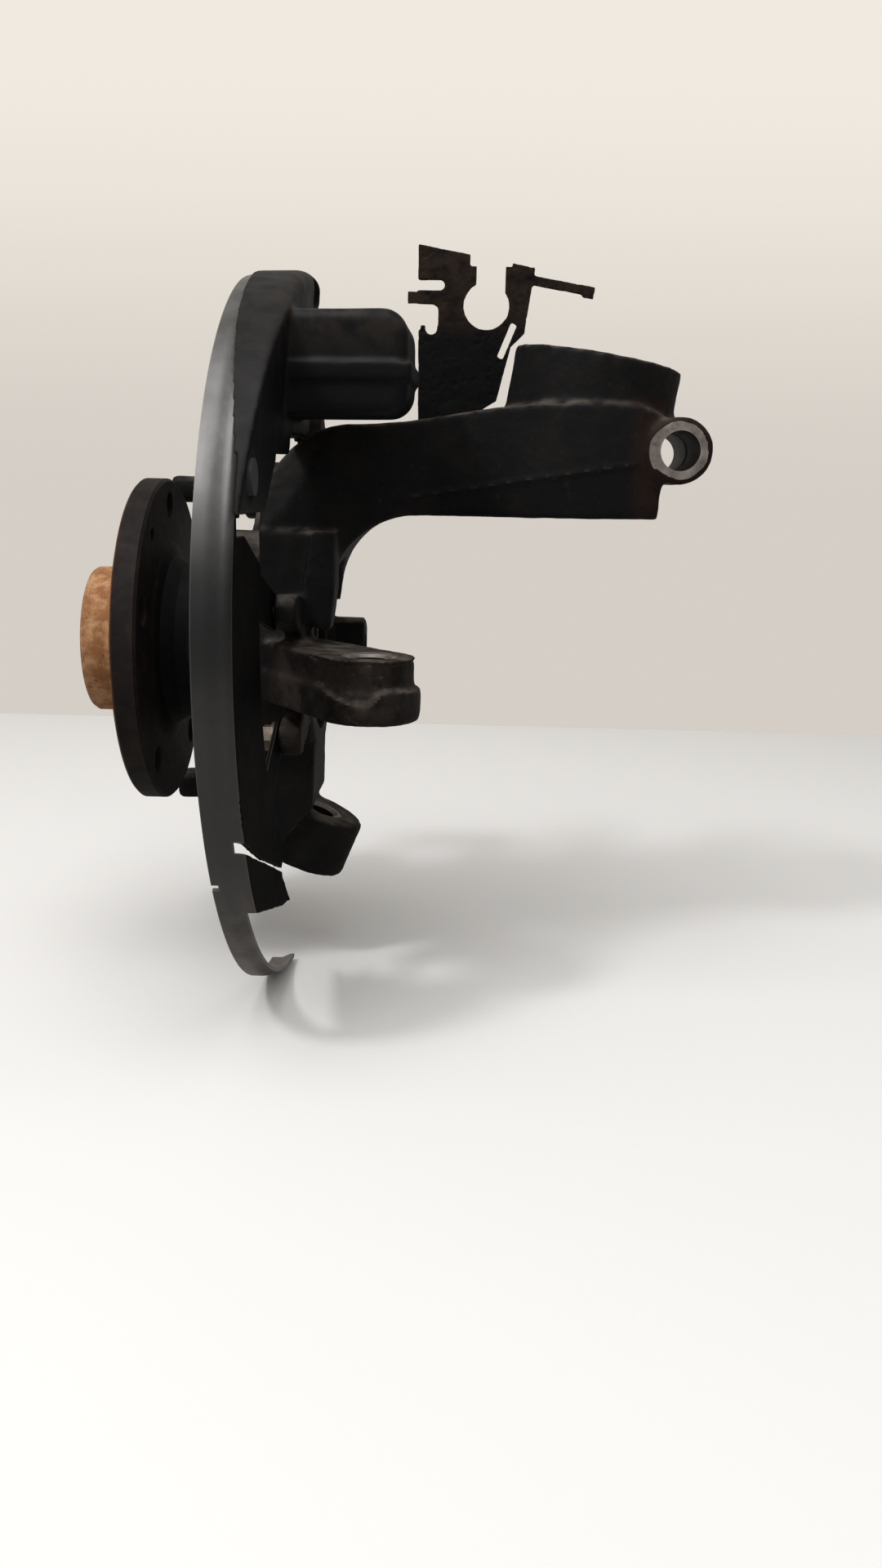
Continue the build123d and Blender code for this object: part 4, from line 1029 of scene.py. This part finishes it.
class SheetSettings(bpy.types.PropertyGroup):
    sheet_size: bpy.props.FloatProperty(
        name="Sheet size", description="Longest edge of the shield's small faces, in millimetres",
        default=4.0, min=1)
    buckle: bpy.props.FloatProperty(
        name="Buckle", description="How far the shield's sheet is buckled, in millimetres",
        default=0.7, min=0)
    plastic_size: bpy.props.FloatProperty(
        name="Plastic size", description="Size of the duct's small faces, in millimetres",
        default=0.75, min=0.4)
    plate_size: bpy.props.FloatProperty(
        name="Plate size", description="Size of the bracket's small faces, in millimetres",
        default=0.5, min=0.3)


class KNUCKLE_OT_shield(bpy.types.Operator):
    """Round, buckle and paint the splash shield"""
    bl_idname = "knuckle.shield"
    bl_label = "Shield"

    def execute(self, context):
        shield_sheet(context.scene.knuckle_sheets, shield_paint(), shield_face_shaded_paint())
        return {"FINISHED"}


class KNUCKLE_OT_duct(bpy.types.Operator):
    """Give the air duct the soft shape of a moulding"""
    bl_idname = "knuckle.duct"
    bl_label = "Air duct"

    def execute(self, context):
        moulded_duct(context.scene.knuckle_sheets, duct_plastic())
        return {"FINISHED"}


class KNUCKLE_OT_bracket(bpy.types.Operator):
    """Wear and rust the hose bracket"""
    bl_idname = "knuckle.bracket"
    bl_label = "Hose bracket"

    def execute(self, context):
        rusted_bracket(context.scene.knuckle_sheets, bracket_paint())
        return {"FINISHED"}


class KNUCKLE_OT_metal(bpy.types.Operator):
    """Finish every part that keeps its own shape"""
    bl_idname = "knuckle.metal"
    bl_label = "Finishes"

    def execute(self, context):
        finishes = {
            "hub_steel": forged_hub(), "bearing_steel": ground_steel(),
            "cage_plastic": cage_nylon(), "seal_rubber": seal_lip(), "spring_steel": spring_steel(),
            "fastener_steel": dull_zinc(),
        }
        slots = {part["node"]: part["material_slot"] for part in frame["record"]["subparts"]}
        for node, obj in frame["nodes"].items():
            if slots[node] in finishes:
                set_finish(obj, finishes[slots[node]])
        return {"FINISHED"}


class KNUCKLE_PT_panel(bpy.types.Panel):
    bl_label = "Steering knuckle"
    bl_idname = "KNUCKLE_PT_panel"
    bl_space_type = "VIEW_3D"
    bl_region_type = "UI"
    bl_category = "Knuckle"

    def draw(self, context):
        for settings, operators in (
            ("knuckle_casting", (KNUCKLE_OT_casting,)),
            ("knuckle_sheets", (KNUCKLE_OT_shield, KNUCKLE_OT_duct, KNUCKLE_OT_bracket)),
            ("knuckle_stage", (KNUCKLE_OT_metal, KNUCKLE_OT_stage)),
        ):
            group = getattr(context.scene, settings)
            for key in type(group).__annotations__:
                self.layout.prop(group, key)
            for operator in operators:
                self.layout.operator(operator.bl_idname)


CLASSES = (StageSettings, CastingSettings, SheetSettings, KNUCKLE_OT_stage,
           KNUCKLE_OT_casting, KNUCKLE_OT_shield, KNUCKLE_OT_duct, KNUCKLE_OT_bracket,
           KNUCKLE_OT_metal, KNUCKLE_PT_panel)


def register():
    for item in CLASSES:
        bpy.utils.register_class(item)
    bpy.types.Scene.knuckle_stage = bpy.props.PointerProperty(type=StageSettings)
    bpy.types.Scene.knuckle_casting = bpy.props.PointerProperty(type=CastingSettings)
    bpy.types.Scene.knuckle_sheets = bpy.props.PointerProperty(type=SheetSettings)


def unregister():
    del bpy.types.Scene.knuckle_stage
    del bpy.types.Scene.knuckle_casting
    del bpy.types.Scene.knuckle_sheets
    for item in reversed(CLASSES):
        bpy.utils.unregister_class(item)


def main():
    register()
    bpy.ops.knuckle.casting()
    bpy.ops.knuckle.shield()
    bpy.ops.knuckle.duct()
    bpy.ops.knuckle.bracket()
    bpy.ops.knuckle.metal()
    bpy.ops.knuckle.stage()


if __name__ == "__main__":
    main()
